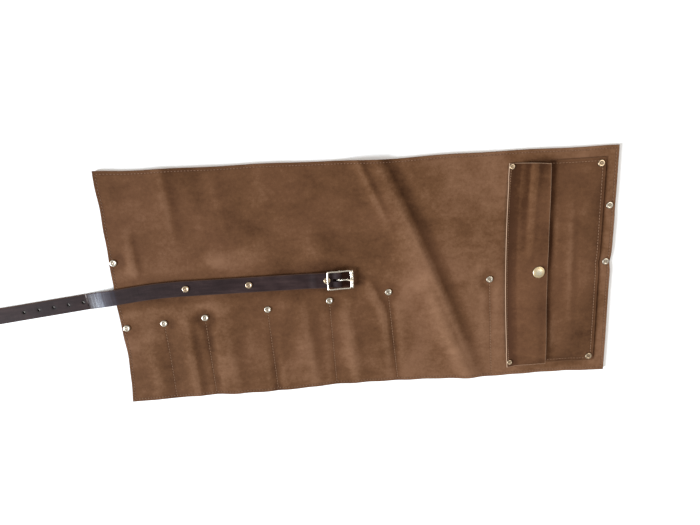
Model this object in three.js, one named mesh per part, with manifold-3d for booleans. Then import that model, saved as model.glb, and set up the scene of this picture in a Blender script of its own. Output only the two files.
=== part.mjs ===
// A leather tool roll, laid open with its outer face up. Millimetres, +Z up. Its long side runs
// along X. The inner pocket panels lie on the bench at z = 0, under the body panel, and a flapped
// pocket and a buckled strap sit on top. The strap's tail lies on the bench to the left.
import * as THREE from "three";
import { mergeVertices } from "three/addons/utils/BufferGeometryUtils.js";
import Module from "manifold-3d";

const wasm = await Module();
wasm.setup();

// ---- Driving dimensions ----

const GAP = 0.3; // between pieces that touch on the real roll

const bodyLength = 625;
const bodyWidth = 294;
const bodyThickness = 2;
const innerThickness = 1.6; // the two pocket panels under the body

// Lower pocket: sewn along the bottom and both ends, with a mouth that climbs to the right.
const mouthHeightLeft = 106.5; // from the bottom edge, at the left edge
const mouthHeightRight = 156.5;
const rivetBelowMouth = 6;
const slotWidths = [46.5, 51.6, 78.6, 78.3, 74.9]; // tool slots, from the left side rivet
const lastDividerToFlap = 20.4; // the sixth divider keeps clear of the side pocket's flap
const rivetStray = [0.5, 0.5, 1.2, 1, 0.5, 2.3]; // each divider's rivet sits this far below the row's line
const sideRivetInset = 8.5; // from the roll's left and right edges
const upperLeftRivetInset = 5.2; // the upper left one sits closer to the edge

// Tip pocket: sewn along the top and both ends, and open downwards. The strap crosses the bare
// band that is left between the two pockets.
const bareBandLeft = 72.5;
const bareBandRight = 59.5;
const rivetAboveTipEdge = 6;

// Side pocket on the outer face.
const pocketRightInset = 16.5;
const pocketTopInset = 13.5;
const pocketBottomInset = 15;
const pocketWidth = 93;
const pocketThickness = 1.6;
const pocketRivetInset = 7;
const flapOverlap = 23.5; // how far the flap's free edge reaches over the pocket's mouth
const flapWidth = 51; // from the sewn edge to the free edge
const flapThickness = 1.8;
const flapMargin = 11.5; // the sewn and riveted strip that doesn't lift
const flapRivetInset = 5.5; // from the flap's ends
const flapTopRivetInset = 4; // from its sewn edge, which slants a little under the rivets
const flapBottomRivetInset = 7.2;
const flapRise = 14; // run over which the flap climbs from its margin to its full height

// Rivets: a domed cap on the outer face, and a back cap with a post through the layers.
const rivetCapRadius = 4.3;
const flapRivetCapRadius = 3.5;
const rivetCapHeight = 1.3;
const rivetBackHeight = 0.8;
const rivetPostRadius = 1.3;
const rivetPostIntoCap = 0.6;
const rivetOffBench = 0.1; // the back caps stop just short of the bench

// Snap: cap and socket on the flap, stud and post on the pocket panel.
const snapCapRadius = 7.5;
const snapCapHeight = 2.4;
const snapPostRadius = 1.3;
const snapSocketRadius = 5.2;
const snapSocketHeight = 1.7;
const snapTopPlate = 0.4;
const snapStudRadius = 4.6;
const snapStudBase = 0.8;
const snapNubRadius = 1.9;
const snapNubHeight = 1.3;
const snapNubClearance = 0.4;
const snapFromMouth = 12;
const snapBelowMiddle = 4.7;
const snapBackRadius = 3.9;
const snapBackHeight = 0.6;

// Strap.
const strapWidth = 20;
const strapThickness = 2.6;
const strapAboveMouth = 20.7; // its centreline, above the lower mouth at the last strap rivet
const strapRivets = [88, 165.4, 262]; // from the roll's left edge
const strapSkew = THREE.MathUtils.degToRad(6.3); // the tail runs off at this angle
const strapBendRadius = 600;
const strapSkived = 1.6; // the folded end is thinned to this
const foldReturn = 12; // the folded end runs this far past the last rivet
const foldRamp = 12;
const tailRamp = 34; // from the roll's edge down to the bench
const tailFirstHole = 39.5; // from the roll's edge
const tailHolePitch = 18.5;
const tailHoleCount = 5;
const tailHoleRadius = 2.2;
const tailEnd = 72; // from the last hole to the tip
const tailPoint = 16; // length of the tapered tip
const tailNose = 4; // half the width of the tip's blunt nose

// Buckle: a centre-bar frame and a wire tongue.
const barFromCap = 11.1; // from the last strap rivet's cap
const barRadius = 1.4;
const frameLeft = 15.6; // from the bar to the frame's outer left side
const frameRight = 17.7;
const frameThickness = 2.6;
const frameBevel = 0.5;
const heelBar = 2.6;
const sideBar = 2.2;
const outerBar = 4.6;
const frameSideClearance = 0.4;
const frameCorner = 1.6;
const frameTilt = THREE.MathUtils.degToRad(5.7); // the frame leans down to the right
const heelClearance = 0.5; // above the last strap rivet's cap
const loopFromHeel = 2.4; // the fold starts to flex past the last rivet's cap
const tongueRadius = 1;
const tongueEyeWall = 1;
const tongueWidth = 2.2;
const tongueLean = -1.6; // the tip lies to one side of the middle
const tongueNotch = 0.8;
const tongueSlotBack = 8; // the slot in the fold reaches this far behind the bar

// ---- Heights, worked out from the stack of layers ----

const bodyBottom = innerThickness + GAP;
const bodyTop = bodyBottom + bodyThickness;
const outerBottom = bodyTop + GAP; // the underside of all that lies on the body
const pocketTop = outerBottom + pocketThickness;
const marginTop = outerBottom + flapThickness;
const studBottom = pocketTop + GAP;
const socketBottom = studBottom + snapStudBase + GAP;
const leafBottom = socketBottom + snapSocketHeight + GAP;
const leafTop = leafBottom + flapThickness;
const strapTop = outerBottom + strapThickness;
const strapEndTop = strapTop + strapSkived;

// ---- Places ----

const left = -bodyLength / 2;
const right = bodyLength / 2;
const bottom = -bodyWidth / 2;
const top = bodyWidth / 2;

const along = (x, atLeft, atRight) => THREE.MathUtils.lerp(atLeft, atRight, (x - left) / bodyLength);
const mouthAt = (x) => bottom + along(x, mouthHeightLeft, mouthHeightRight);
const tipEdgeAt = (x) => mouthAt(x) + along(x, bareBandLeft, bareBandRight);

const pocketRight = right - pocketRightInset;
const pocketLeft = pocketRight - pocketWidth;
const pocketUpper = top - pocketTopInset;
const pocketLower = bottom + pocketBottomInset;
const flapFree = pocketLeft + flapOverlap;
const flapSewn = flapFree - flapWidth;
const flapHinge = flapSewn + flapMargin;
const snapX = pocketLeft + snapFromMouth;
const snapY = (pocketUpper + pocketLower) / 2 - snapBelowMiddle;

const strapRivetX = strapRivets.map((d) => left + d);
const firstRivetX = strapRivetX[0];
const lastRivetX = strapRivetX[strapRivetX.length - 1];
const strapY = mouthAt(lastRivetX) + strapAboveMouth;
const barX = lastRivetX + rivetCapRadius + barFromCap;
const barZ = outerBottom + strapSkived + GAP + barRadius;
const heelX = barX - frameLeft + heelBar / 2;
const heelZ = strapEndTop + GAP + rivetCapHeight + heelClearance + frameThickness / 2;
const loopX = heelX + heelBar / 2 + loopFromHeel; // where the flexing fold meets the riveted strap
const skewEndX = firstRivetX - strapBendRadius * Math.sin(strapSkew);
const skewEndY = strapY - strapBendRadius * (1 - Math.cos(strapSkew));
const straightRun = (skewEndX - left) / Math.cos(strapSkew);
const edgeY = skewEndY - straightRun * Math.sin(strapSkew); // where the strap leaves the roll

// ---- Materials ----

const finish = (color, roughness, metalness) =>
  new THREE.MeshStandardMaterial({ color, roughness, metalness });
const suede = finish(0x6f5140, 0.92, 0);
const suedeInner = finish(0x765a46, 0.95, 0);
const strapLeather = finish(0x3c2c2b, 0.45, 0);
const nickel = finish(0xb9b4aa, 0.3, 1);
const snapBrass = finish(0xcabf9f, 0.3, 1);

// ---- Helpers ----

const roll = new THREE.Group();
roll.name = "tool_roll";

function add(name, geometry, material, parent = roll) {
  const mesh = new THREE.Mesh(geometry, material);
  mesh.name = name;
  parent.add(mesh);
  return mesh;
}

// A closed geometry as a solid that can be joined and cut.
function solid(geometry) {
  const bare = geometry.index ? geometry.toNonIndexed() : geometry.clone();
  bare.deleteAttribute("normal");
  bare.deleteAttribute("uv");
  const merged = mergeVertices(bare, 1e-4);
  return new wasm.Manifold(
    new wasm.Mesh({
      numProp: 3,
      vertProperties: merged.attributes.position.array,
      triVerts: new Uint32Array(merged.index.array),
    }),
  );
}

function geometryOf(manifold) {
  const mesh = manifold.getMesh();
  const geometry = new THREE.BufferGeometry();
  geometry.setAttribute("position", new THREE.BufferAttribute(mesh.vertProperties, 3));
  geometry.setIndex(new THREE.BufferAttribute(mesh.triVerts, 1));
  geometry.computeVertexNormals();
  return geometry;
}

const join = (...parts) => geometryOf(parts.map(solid).reduce((a, b) => a.add(b)));
const cut = (whole, tools) =>
  geometryOf(tools.map(solid).reduce((a, b) => a.subtract(b), solid(whole)));

// A plan outline, extruded upwards from a height.
function plate(shape, from, thickness) {
  const options = { depth: thickness, bevelEnabled: false, curveSegments: 10 };
  return new THREE.ExtrudeGeometry(shape, options).translate(0, 0, from);
}

// A side outline in x and z, extruded along y about a middle line.
function slice(shape, middle, width) {
  const options = { depth: width, bevelEnabled: false, curveSegments: 10 };
  const geometry = new THREE.ExtrudeGeometry(shape, options);
  return geometry.rotateX(Math.PI / 2).translate(0, middle + width / 2, 0);
}

const outline = (points) => new THREE.Shape(points.map(([x, y]) => new THREE.Vector2(x, y)));

// A turned piece: its profile is [radius, height] pairs about a vertical axis.
function turned(profile, x, y, from, sides) {
  const points = profile.map(([r, z]) => new THREE.Vector2(r, z));
  return new THREE.LatheGeometry(points, sides).rotateX(Math.PI / 2).translate(x, y, from);
}

function drum(x, y, from, to, radius, sides) {
  return turned([[0, 0], [radius, 0], [radius, to - from], [0, to - from]], x, y, from, sides);
}

// ---- Rivets ----

const RIVET_SIDES = 12;
const dividerX = slotWidths.map((_, i) =>
  slotWidths.slice(0, i + 1).reduce((sum, w) => sum + w, left + sideRivetInset),
);
dividerX.push(flapSewn - lastDividerToFlap);

const rivets = [];
const rivet = (name, x, y, seat, under, radius = rivetCapRadius) =>
  rivets.push({ name, x, y, seat, under, radius });

// seat is the top of the layer under the cap, and under is the bottom of the lowest layer, where
// the back cap is drawn into the soft inner leather or sits below the bare body panel.
const drawnIn = rivetOffBench + rivetBackHeight + GAP;
dividerX.forEach((x, i) =>
  rivet(`divider_rivet_${i + 1}`, x, mouthAt(x) - rivetBelowMouth - rivetStray[i], bodyTop, drawnIn),
);
for (const [side, lowerX, upperX] of [
  ["left", left + sideRivetInset, left + upperLeftRivetInset],
  ["right", right - sideRivetInset, right - sideRivetInset],
]) {
  const lowerY = mouthAt(lowerX) - rivetBelowMouth;
  const upperY = tipEdgeAt(upperX) + rivetAboveTipEdge;
  rivet(`side_rivet_${side}_lower`, lowerX, lowerY, bodyTop, drawnIn);
  rivet(`side_rivet_${side}_upper`, upperX, upperY, bodyTop, drawnIn);
}
for (const [end, y, sign, fromSewnEdge] of [
  ["top", pocketUpper, -1, flapTopRivetInset],
  ["bottom", pocketLower, 1, flapBottomRivetInset],
]) {
  const pocketRivetY = y + sign * pocketRivetInset;
  const flapRivetX = flapSewn + fromSewnEdge;
  const flapRivetY = y + sign * flapRivetInset;
  rivet(`pocket_rivet_${end}`, pocketRight - pocketRivetInset, pocketRivetY, pocketTop, drawnIn);
  rivet(`flap_rivet_${end}`, flapRivetX, flapRivetY, marginTop, drawnIn, flapRivetCapRadius);
}
strapRivetX.forEach((x, i) => {
  const seat = x === lastRivetX ? strapEndTop : strapTop;
  rivet(`strap_rivet_${i + 1}`, x, strapY, seat, bodyBottom);
});

// What a rivet needs cut out of every layer: the post's hole, and a seat for the back cap.
const postHole = (r) =>
  drum(r.x, r.y, -1, r.seat + 1, rivetPostRadius + GAP, RIVET_SIDES);
const backSeat = (r) =>
  drum(r.x, r.y, -1, Math.min(r.under, bodyBottom - GAP), r.radius + GAP, RIVET_SIDES);

const within = (r, x0, x1, y0, y1) => {
  const reach = r.radius + GAP;
  return r.x + reach > x0 && r.x - reach < x1 && r.y + reach > y0 && r.y - reach < y1;
};

for (const r of rivets) {
  const capFoot = r.seat + GAP;
  const bore = rivetPostRadius + GAP;
  const boreTop = rivetPostIntoCap + GAP;
  add(
    `${r.name}_cap`,
    turned(
      [[0, boreTop], [bore, boreTop], [bore, 0], [r.radius, 0], [r.radius, 0.35 * rivetCapHeight],
        [0.82 * r.radius, 0.8 * rivetCapHeight], [0.45 * r.radius, rivetCapHeight],
        [0, rivetCapHeight]],
      r.x, r.y, capFoot, RIVET_SIDES,
    ),
    nickel,
  );
  const backTop = r.under - GAP;
  const backFoot = backTop - rivetBackHeight;
  const postTop = capFoot + rivetPostIntoCap - backFoot;
  add(
    `${r.name}_post`,
    turned(
      [[0, 0], [0.8 * r.radius, 0], [r.radius, 0.45 * rivetBackHeight],
        [r.radius, rivetBackHeight], [rivetPostRadius, rivetBackHeight],
        [rivetPostRadius, postTop], [0, postTop]],
      r.x, r.y, backFoot, RIVET_SIDES,
    ),
    nickel,
  );
}

// ---- Body panel and the two inner pocket panels ----

const bodyOutline = outline([[left, bottom], [right, bottom], [right, top], [left, top]]);
add("body_panel", cut(plate(bodyOutline, bodyBottom, bodyThickness), rivets.map(postHole)), suede);

const lowerOutline = outline([
  [left, bottom],
  [right, bottom],
  [right, mouthAt(right)],
  [left, mouthAt(left)],
]);
const underLower = rivets.filter((r) => within(r, left, right, bottom, mouthAt(r.x)));
add(
  "lower_pocket_panel",
  cut(plate(lowerOutline, 0, innerThickness), [
    ...underLower.map(postHole),
    ...underLower.map(backSeat),
  ]),
  suedeInner,
);

const tipOutline = outline([
  [left, tipEdgeAt(left)],
  [right, tipEdgeAt(right)],
  [right, top],
  [left, top],
]);
const underTip = rivets.filter((r) => within(r, left, right, tipEdgeAt(r.x), top));
add(
  "tip_pocket_panel",
  cut(plate(tipOutline, 0, innerThickness), [...underTip.map(postHole), ...underTip.map(backSeat)]),
  suedeInner,
);

// ---- Side pocket, its flap and the snap ----

const SNAP_SIDES = 20;
const pocketOutline = outline([
  [pocketLeft, pocketLower],
  [pocketRight, pocketLower],
  [pocketRight, pocketUpper],
  [pocketLeft, pocketUpper],
]);
const onPocket = rivets.filter((r) => r.name.startsWith("pocket_rivet"));
const snapHole = snapPostRadius + GAP;
const snapBackSeat = snapBackHeight + GAP;
add(
  "side_pocket_panel",
  cut(plate(pocketOutline, outerBottom, pocketThickness), [
    ...onPocket.map(postHole),
    drum(snapX, snapY, outerBottom - 1, pocketTop + 1, snapHole, SNAP_SIDES),
    drum(snapX, snapY, outerBottom - 1, outerBottom + snapBackSeat, snapBackRadius + GAP, SNAP_SIDES),
  ]),
  suede,
);

const marginOutline = outline([
  [flapSewn, pocketLower],
  [flapHinge - GAP / 2, pocketLower],
  [flapHinge - GAP / 2, pocketUpper],
  [flapSewn, pocketUpper],
]);
const onMargin = rivets.filter((r) => r.name.startsWith("flap_rivet"));
add(
  "flap_margin",
  cut(plate(marginOutline, outerBottom, flapThickness), onMargin.map(postHole)),
  suede,
);

// The leaf climbs from the margin's level, over the pocket's mouth, to clear the snap's halves.
const leafStart = flapHinge + GAP / 2;
const leafSide = outline([
  [leafStart, outerBottom],
  [leafStart + flapRise, leafBottom],
  [flapFree, leafBottom],
  [flapFree, leafTop],
  [leafStart + flapRise, leafTop],
  [leafStart, marginTop],
]);
const flapMiddle = (pocketUpper + pocketLower) / 2;
const flapLength = pocketUpper - pocketLower;
add(
  "pocket_flap",
  cut(slice(leafSide, flapMiddle, flapLength), [
    drum(snapX, snapY, leafBottom - 1, leafTop + 1, snapHole, SNAP_SIDES),
  ]),
  suede,
);

const stemReach = GAP + flapThickness + GAP + snapTopPlate;
add(
  "snap_cap",
  turned(
    [[0, -stemReach], [snapPostRadius, -stemReach], [snapPostRadius, 0], [snapCapRadius, 0],
      [snapCapRadius, 0.3 * snapCapHeight], [0.9 * snapCapRadius, 0.62 * snapCapHeight],
      [0.65 * snapCapRadius, 0.9 * snapCapHeight], [0, snapCapHeight]],
    snapX, snapY, leafTop + GAP, SNAP_SIDES,
  ),
  snapBrass,
);
const plateFoot = snapSocketHeight - snapTopPlate;
const nubBore = snapNubRadius + snapNubClearance;
add(
  "snap_socket",
  turned(
    [[nubBore, plateFoot], [nubBore, 0], [0.8 * snapSocketRadius, 0],
      [snapSocketRadius, 0.3 * snapSocketHeight], [snapSocketRadius, snapSocketHeight],
      [snapHole, snapSocketHeight], [snapHole, plateFoot], [nubBore, plateFoot]],
    snapX, snapY, socketBottom, SNAP_SIDES,
  ),
  nickel,
);
const studBore = 0.7 * snapStudBase;
add(
  "snap_stud",
  turned(
    [[0, studBore], [snapHole, studBore], [snapHole, 0], [snapStudRadius, 0],
      [snapStudRadius, 0.6 * snapStudBase], [snapNubRadius, snapStudBase],
      [snapNubRadius, snapStudBase + snapNubHeight], [0, snapStudBase + snapNubHeight]],
    snapX, snapY, studBottom, SNAP_SIDES,
  ),
  nickel,
);
const snapPostTop = studBottom + studBore - GAP - outerBottom;
add(
  "snap_post",
  turned(
    [[0, 0], [snapBackRadius, 0], [snapBackRadius, snapBackHeight],
      [snapPostRadius, snapBackHeight], [snapPostRadius, snapPostTop], [0, snapPostTop]],
    snapX, snapY, outerBottom, SNAP_SIDES,
  ),
  nickel,
);

// ---- Strap: riveted part, folded end, ramp to the bench and tail ----

const half = strapWidth / 2;
const across = new THREE.Vector2(Math.sin(strapSkew), -Math.cos(strapSkew)).multiplyScalar(half);
const strapPlan = new THREE.Shape();
const planEndX = lastRivetX - foldReturn - 2 * foldRamp; // the side outline takes over here
const arcY = strapY - strapBendRadius;
const quarter = Math.PI / 2;
const strapEndX = left + 0.5 * GAP;
strapPlan.moveTo(planEndX, strapY - half);
strapPlan.lineTo(planEndX, strapY + half);
strapPlan.absarc(firstRivetX, arcY, strapBendRadius + half, quarter, quarter + strapSkew, false);
strapPlan.lineTo(strapEndX - across.x, edgeY - across.y);
strapPlan.lineTo(strapEndX + across.x, edgeY + across.y);
strapPlan.absarc(firstRivetX, arcY, strapBendRadius - half, quarter + strapSkew, quarter, true);

const foldStartX = lastRivetX - foldReturn;
const strapSide = outline([
  [planEndX - 1, outerBottom],
  [loopX - GAP, outerBottom],
  [loopX - GAP, strapEndTop],
  [foldStartX, strapEndTop],
  [foldStartX - foldRamp, strapTop],
  [planEndX - 1, strapTop],
]);
const onStrap = rivets.filter((r) => r.name.startsWith("strap_rivet"));
add(
  "strap",
  cut(
    join(plate(strapPlan, outerBottom, strapThickness), slice(strapSide, strapY, strapWidth)),
    onStrap.map(postHole),
  ),
  strapLeather,
);

// The folded end wraps the buckle's bar and is slotted for the tongue.
const foldRadius = barRadius + GAP + strapSkived;
const loopSide = new THREE.Shape();
loopSide.moveTo(loopX, outerBottom);
loopSide.lineTo(barX, outerBottom);
loopSide.absarc(barX, outerBottom + foldRadius, foldRadius, -quarter, quarter, false);
loopSide.lineTo(loopX, strapEndTop);
const barHole = new THREE.Path().absarc(barX, barZ, barRadius + GAP, 0, 2 * Math.PI, true);
loopSide.holes.push(barHole);
const slotWidth = tongueWidth + 4 * GAP;
const slotHeight = 4 * foldRadius;
const slot = new THREE.BoxGeometry(2 * foldRadius + tongueSlotBack, slotWidth, slotHeight);
slot.translate(barX + foldRadius - tongueSlotBack / 2, strapY, barZ);
add("strap_loop", cut(slice(loopSide, strapY, strapWidth), [slot]), strapLeather);

// The ramp and the tail run along -X of a group that stands at the roll's edge.
const tail = new THREE.Group();
tail.position.set(left, edgeY, 0);
tail.rotation.z = strapSkew;
roll.add(tail);

const rampSide = outline([
  [-tailRamp + GAP / 2, 0],
  [-GAP / 2, outerBottom],
  [-GAP / 2, strapTop],
  [-tailRamp + GAP / 2, strapThickness],
]);
add("strap_bend", slice(rampSide, 0, strapWidth), strapLeather, tail);

const lastHole = tailFirstHole + (tailHoleCount - 1) * tailHolePitch;
const tipX = -(lastHole + tailEnd);
const tailStart = -tailRamp - GAP / 2;
const tailPlan = new THREE.Shape();
tailPlan.moveTo(tailStart, -half);
tailPlan.lineTo(tailStart, half);
tailPlan.lineTo(tipX + tailPoint, half);
tailPlan.quadraticCurveTo(tipX + 0.35 * tailPoint, 0.9 * half, tipX, tailNose);
tailPlan.lineTo(tipX, -tailNose);
tailPlan.quadraticCurveTo(tipX + 0.35 * tailPoint, -0.9 * half, tipX + tailPoint, -half);
for (let i = 0; i < tailHoleCount; i++) {
  const x = -(tailFirstHole + i * tailHolePitch);
  tailPlan.holes.push(new THREE.Path().absarc(x, 0, tailHoleRadius, 0, 2 * Math.PI, true));
}
add("strap_tail", plate(tailPlan, 0, strapThickness), strapLeather, tail);

// ---- Buckle ----

const windowHalf = half + frameSideClearance;
const frameHalf = windowHalf + sideBar;
const ring = new THREE.Shape();
const b = frameBevel;
const ringLeft = -frameLeft + b;
const ringRight = frameRight - b;
const ringHalf = frameHalf - b;
ring.moveTo(ringLeft + frameCorner, -ringHalf);
ring.lineTo(ringRight - frameCorner, -ringHalf);
ring.absarc(ringRight - frameCorner, -ringHalf + frameCorner, frameCorner, -quarter, 0, false);
ring.absarc(ringRight - frameCorner, ringHalf - frameCorner, frameCorner, 0, quarter, false);
ring.absarc(ringLeft + frameCorner, ringHalf - frameCorner, frameCorner, quarter, Math.PI, false);
ring.absarc(ringLeft + frameCorner, -ringHalf + frameCorner, frameCorner, Math.PI, 3 * quarter,
  false);
const windowLeft = -frameLeft + heelBar - b;
const windowRight = frameRight - outerBar + b;
ring.holes.push(
  outline([
    [windowLeft, -windowHalf - b],
    [windowLeft, windowHalf + b],
    [windowRight, windowHalf + b],
    [windowRight, -windowHalf - b],
  ]),
);
const ringBody = new THREE.ExtrudeGeometry(ring, {
  depth: frameThickness - 2 * b,
  bevelThickness: b,
  bevelSize: b,
  bevelSegments: 1,
  curveSegments: 4,
});
// The ring leans about the heel bar, so that bar keeps its height over the rivet.
const heelArm = heelX - barX;
ringBody.translate(-heelArm, 0, -frameThickness / 2 + b);
const outerMiddle = frameRight - outerBar / 2 - heelArm;
const notch = new THREE.BoxGeometry(outerBar + 2, tongueWidth + 2 * GAP, 2 * tongueNotch);
notch.translate(outerMiddle, tongueLean, frameThickness / 2);
const leaning = cut(ringBody, [notch]).rotateY(frameTilt).translate(heelX, strapY, heelZ);

const barLength = 2 * (windowHalf + sideBar / 2);
const bar = new THREE.CylinderGeometry(barRadius, barRadius, barLength, 14);
bar.translate(barX, strapY, barZ);
const ringAtBar = heelZ + heelArm * Math.tan(frameTilt);
const lugHeight = ringAtBar - barZ + barRadius;
const lug = (side) =>
  new THREE.BoxGeometry(2 * barRadius, sideBar - b, lugHeight).translate(
    barX,
    strapY + side * (windowHalf + sideBar / 2),
    barZ - barRadius + lugHeight / 2,
  );
add("buckle_frame", join(leaning, bar, lug(-1), lug(1)), nickel);

const eye = new THREE.Shape().absarc(0, 0, barRadius + GAP + tongueEyeWall, 0, 2 * Math.PI, false);
eye.holes.push(new THREE.Path().absarc(0, 0, barRadius + GAP, 0, 2 * Math.PI, true));
const eyeBody = slice(eye, 0, tongueWidth).translate(barX, strapY, barZ);
const seatX = heelX + outerMiddle * Math.cos(frameTilt);
const seatZ = heelZ - outerMiddle * Math.sin(frameTilt) + frameThickness / 2 - tongueNotch;
const seatLift = seatZ + GAP + tongueRadius;
const eyeMiddle = barRadius + GAP + tongueEyeWall / 2;
const tongueLine = new THREE.CatmullRomCurve3([
  new THREE.Vector3(barX + 0.55 * eyeMiddle, strapY, barZ + 0.84 * eyeMiddle),
  new THREE.Vector3(barX + 5, strapY, seatLift + 0.4),
  new THREE.Vector3(barX + 10, strapY + 0.2 * tongueLean, seatLift + 1),
  new THREE.Vector3(seatX - outerBar, strapY + 0.9 * tongueLean, seatLift + 0.5),
  new THREE.Vector3(seatX + outerBar / 2 + 0.6, strapY + tongueLean, seatLift),
]);
const wire = new THREE.Shape().absarc(0, 0, tongueRadius, 0, 2 * Math.PI, false);
const shank = new THREE.ExtrudeGeometry(wire, {
  steps: 14,
  curveSegments: 5,
  extrudePath: tongueLine,
});
add("buckle_tongue", join(eyeBody, shank), nickel);

// ---- Origin: the middle of the whole length and width, on the bench ----

roll.updateMatrixWorld(true);
const box = new THREE.Box3().setFromObject(roll);
const middle = box.getCenter(new THREE.Vector3());
roll.position.set(-middle.x, -middle.y, 0);

export default roll;
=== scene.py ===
"""A leather tool roll laid open, outer face up: its panels, seams, rivets, pocket, flap, strap and buckle.

Everything is in metres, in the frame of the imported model. x runs along the roll, from the strap's
tail to the side pocket, y runs across it, and z = 0 is the bench.
"""
import math

import bpy
import numpy as np
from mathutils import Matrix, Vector


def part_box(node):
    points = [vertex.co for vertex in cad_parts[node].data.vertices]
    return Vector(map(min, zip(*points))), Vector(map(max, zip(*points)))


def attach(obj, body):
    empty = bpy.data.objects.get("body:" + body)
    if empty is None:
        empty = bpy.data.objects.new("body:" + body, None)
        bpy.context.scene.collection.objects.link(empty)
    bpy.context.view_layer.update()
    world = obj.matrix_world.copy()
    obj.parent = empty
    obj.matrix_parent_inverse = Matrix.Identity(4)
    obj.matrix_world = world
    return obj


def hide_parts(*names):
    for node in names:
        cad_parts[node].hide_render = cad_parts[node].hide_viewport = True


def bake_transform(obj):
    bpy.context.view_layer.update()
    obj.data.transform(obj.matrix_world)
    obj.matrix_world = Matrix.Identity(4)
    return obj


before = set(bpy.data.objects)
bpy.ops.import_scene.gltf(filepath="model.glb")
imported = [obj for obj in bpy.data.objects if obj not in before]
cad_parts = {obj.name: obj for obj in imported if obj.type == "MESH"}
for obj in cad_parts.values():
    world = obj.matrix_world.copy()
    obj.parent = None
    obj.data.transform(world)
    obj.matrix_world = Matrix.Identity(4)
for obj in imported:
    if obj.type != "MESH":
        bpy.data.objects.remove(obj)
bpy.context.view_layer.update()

# ---------------------------------------------------------------------------------------------
# Body panel: one rectangle of brown suede, 2 mm thick, nap side up. It has been rolled up often,
# so it lies in soft waves, and each rivet, seam and the strap pins it down to the bench.
# ---------------------------------------------------------------------------------------------
mm = 0.001
body_low, body_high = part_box("body_panel")
cap_names = sorted(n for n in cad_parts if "rivet" in n and n.endswith("_cap"))


def middle_of(node):
    """The middle of a node's box: half the sum of its lowest and highest corners."""
    low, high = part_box(node)
    return (low + high) / 2


def ease(t):
    """Goes smoothly from 0 to 1 as t does: 3 t^2 - 2 t^3, and stays there outside."""
    t = np.clip(t, 0, 1)
    return t * t * (3 - 2 * t)


def ridge(x, y, top, foot, heights, left, right, bow=0.0):
    """A long wave in the leather: a bell curve across the line from top to foot, with its own width on the
    left and the right flank. Its height runs through the three heights along the line, and bow bends it to
    the right."""
    run = np.array(foot, float) - np.array(top, float)
    length = np.hypot(*run)
    ux, uy = run / length
    along = ((x - top[0]) * ux + (y - top[1]) * uy) / length
    across = -(x - top[0]) * uy + (y - top[1]) * ux - bow * 4 * along * (1 - along)
    height = np.interp(along, [-0.25, 0, 0.5, 1, 1.25], [0, heights[0], heights[1], heights[2], 0])
    return height * np.exp(-((across / np.where(across < 0, left, right)) ** 2))


def mound(x, y, at, wide, deep, height):
    """A soft hump: a bell curve about a point, wide along x and deep along y."""
    return height * np.exp(-(((x - at[0]) / wide) ** 2) - ((y - at[1]) / deep) ** 2)


def swell(x, y):
    """How far the leather would stand off the bench if nothing held it, in metres: long diagonal waves
    from rolling, soft humps between the tool slots, and a slow unevenness made of three sine waves."""
    x, y = x / mm, y / mm
    waves = (
        ridge(x, y, (105, 150), (229, -150), (5.8, 8.4, 2.2), 30, 12, bow=5)
        + ridge(x, y, (166, -20), (217, -140), (0.4, 2.6, 2.0), 14, 9)
        + ridge(x, y, (82, 150), (122, 55), (1.5, 1.4, 0.2), 13, 6)
        + ridge(x, y, (84, 4), (122, -95), (0.6, 2.0, 0.3), 13, 5.5, bow=9)
        + ridge(x, y, (-148, 150), (-141, 55), (1.6, 2.2, 0.4), 17, 9)
        + ridge(x, y, (-92, 150), (-80, 60), (0.6, 1.1, 0.2), 16, 10)
        + ridge(x, y, (-194, 72), (-191, 12), (0.6, 2.0, 1.0), 10, 6)
        + ridge(x, y, (-139, -38), (-134, -150), (0.8, 2.6, 1.5), 13, 8)
        + ridge(x, y, (-92, -42), (-84, -150), (0.5, 2.8, 1.6), 17, 13)
        + ridge(x, y, (8, -32), (17, -140), (1.2, 2.7, 1.4), 20, 11)
        + ridge(x, y, (62, -30), (72, -140), (0.6, 2.3, 1.6), 11, 12)
        + ridge(x, y, (-188, -60), (-184, -150), (0.8, 1.6, 1.2), 12, 12)
        + mound(x, y, (-94, 36), 20, 21, 2.0)
        + mound(x, y, (-45, 46), 24, 17, 2.1)
        + mound(x, y, (-2, 74), 36, 30, 1.5)
        + mound(x, y, (28, 45), 17, 20, 1.6)
        + mound(x, y, (-50, 105), 30, 20, 1.2)
        + mound(x, y, (170, -78), 30, 30, 1.0)
    )
    slow = 1.5 + 0.6 * np.sin(x / 31 + y / 47) + 0.5 * np.sin(y / 27 - x / 58) + 0.4 * np.sin(x / 19 - y / 33)
    calm = 1 - 0.55 * ease((x - 232) / 30)
    return (waves + 0.55 * slow) * calm * mm


def pin(distance, flat, reach):
    """1 where the leather is held down, out to the distance flat, then a bell curve that dies off over
    reach."""
    return np.exp(-((np.maximum(distance - flat, 0) / reach) ** 2))


strap_side = middle_of("strap_rivet_1_cap")
strap_end_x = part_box("buckle_frame")[1].x
roll_edge = np.array([body_low.x, middle_of("strap_bend").y + 1.9 * mm])
arc_start_x = strap_side.x
arc_radius = 600 * mm
arc_turn = math.radians(6.3)
arc_end = np.array([
    arc_start_x - arc_radius * math.sin(arc_turn),
    strap_side.y - arc_radius * (1 - math.cos(arc_turn)),
])


def strap_middle_y(x):
    """Where the strap's middle line runs: straight along x, then on the arc, then straight on."""
    bend = np.clip((arc_start_x - x) / arc_radius, 0, math.sin(arc_turn))
    on_arc = strap_side.y - arc_radius * (1 - np.sqrt(1 - bend**2))
    return np.where(x < arc_end[0], arc_end[1] + (x - arc_end[0]) * math.tan(arc_turn), on_arc)


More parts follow.
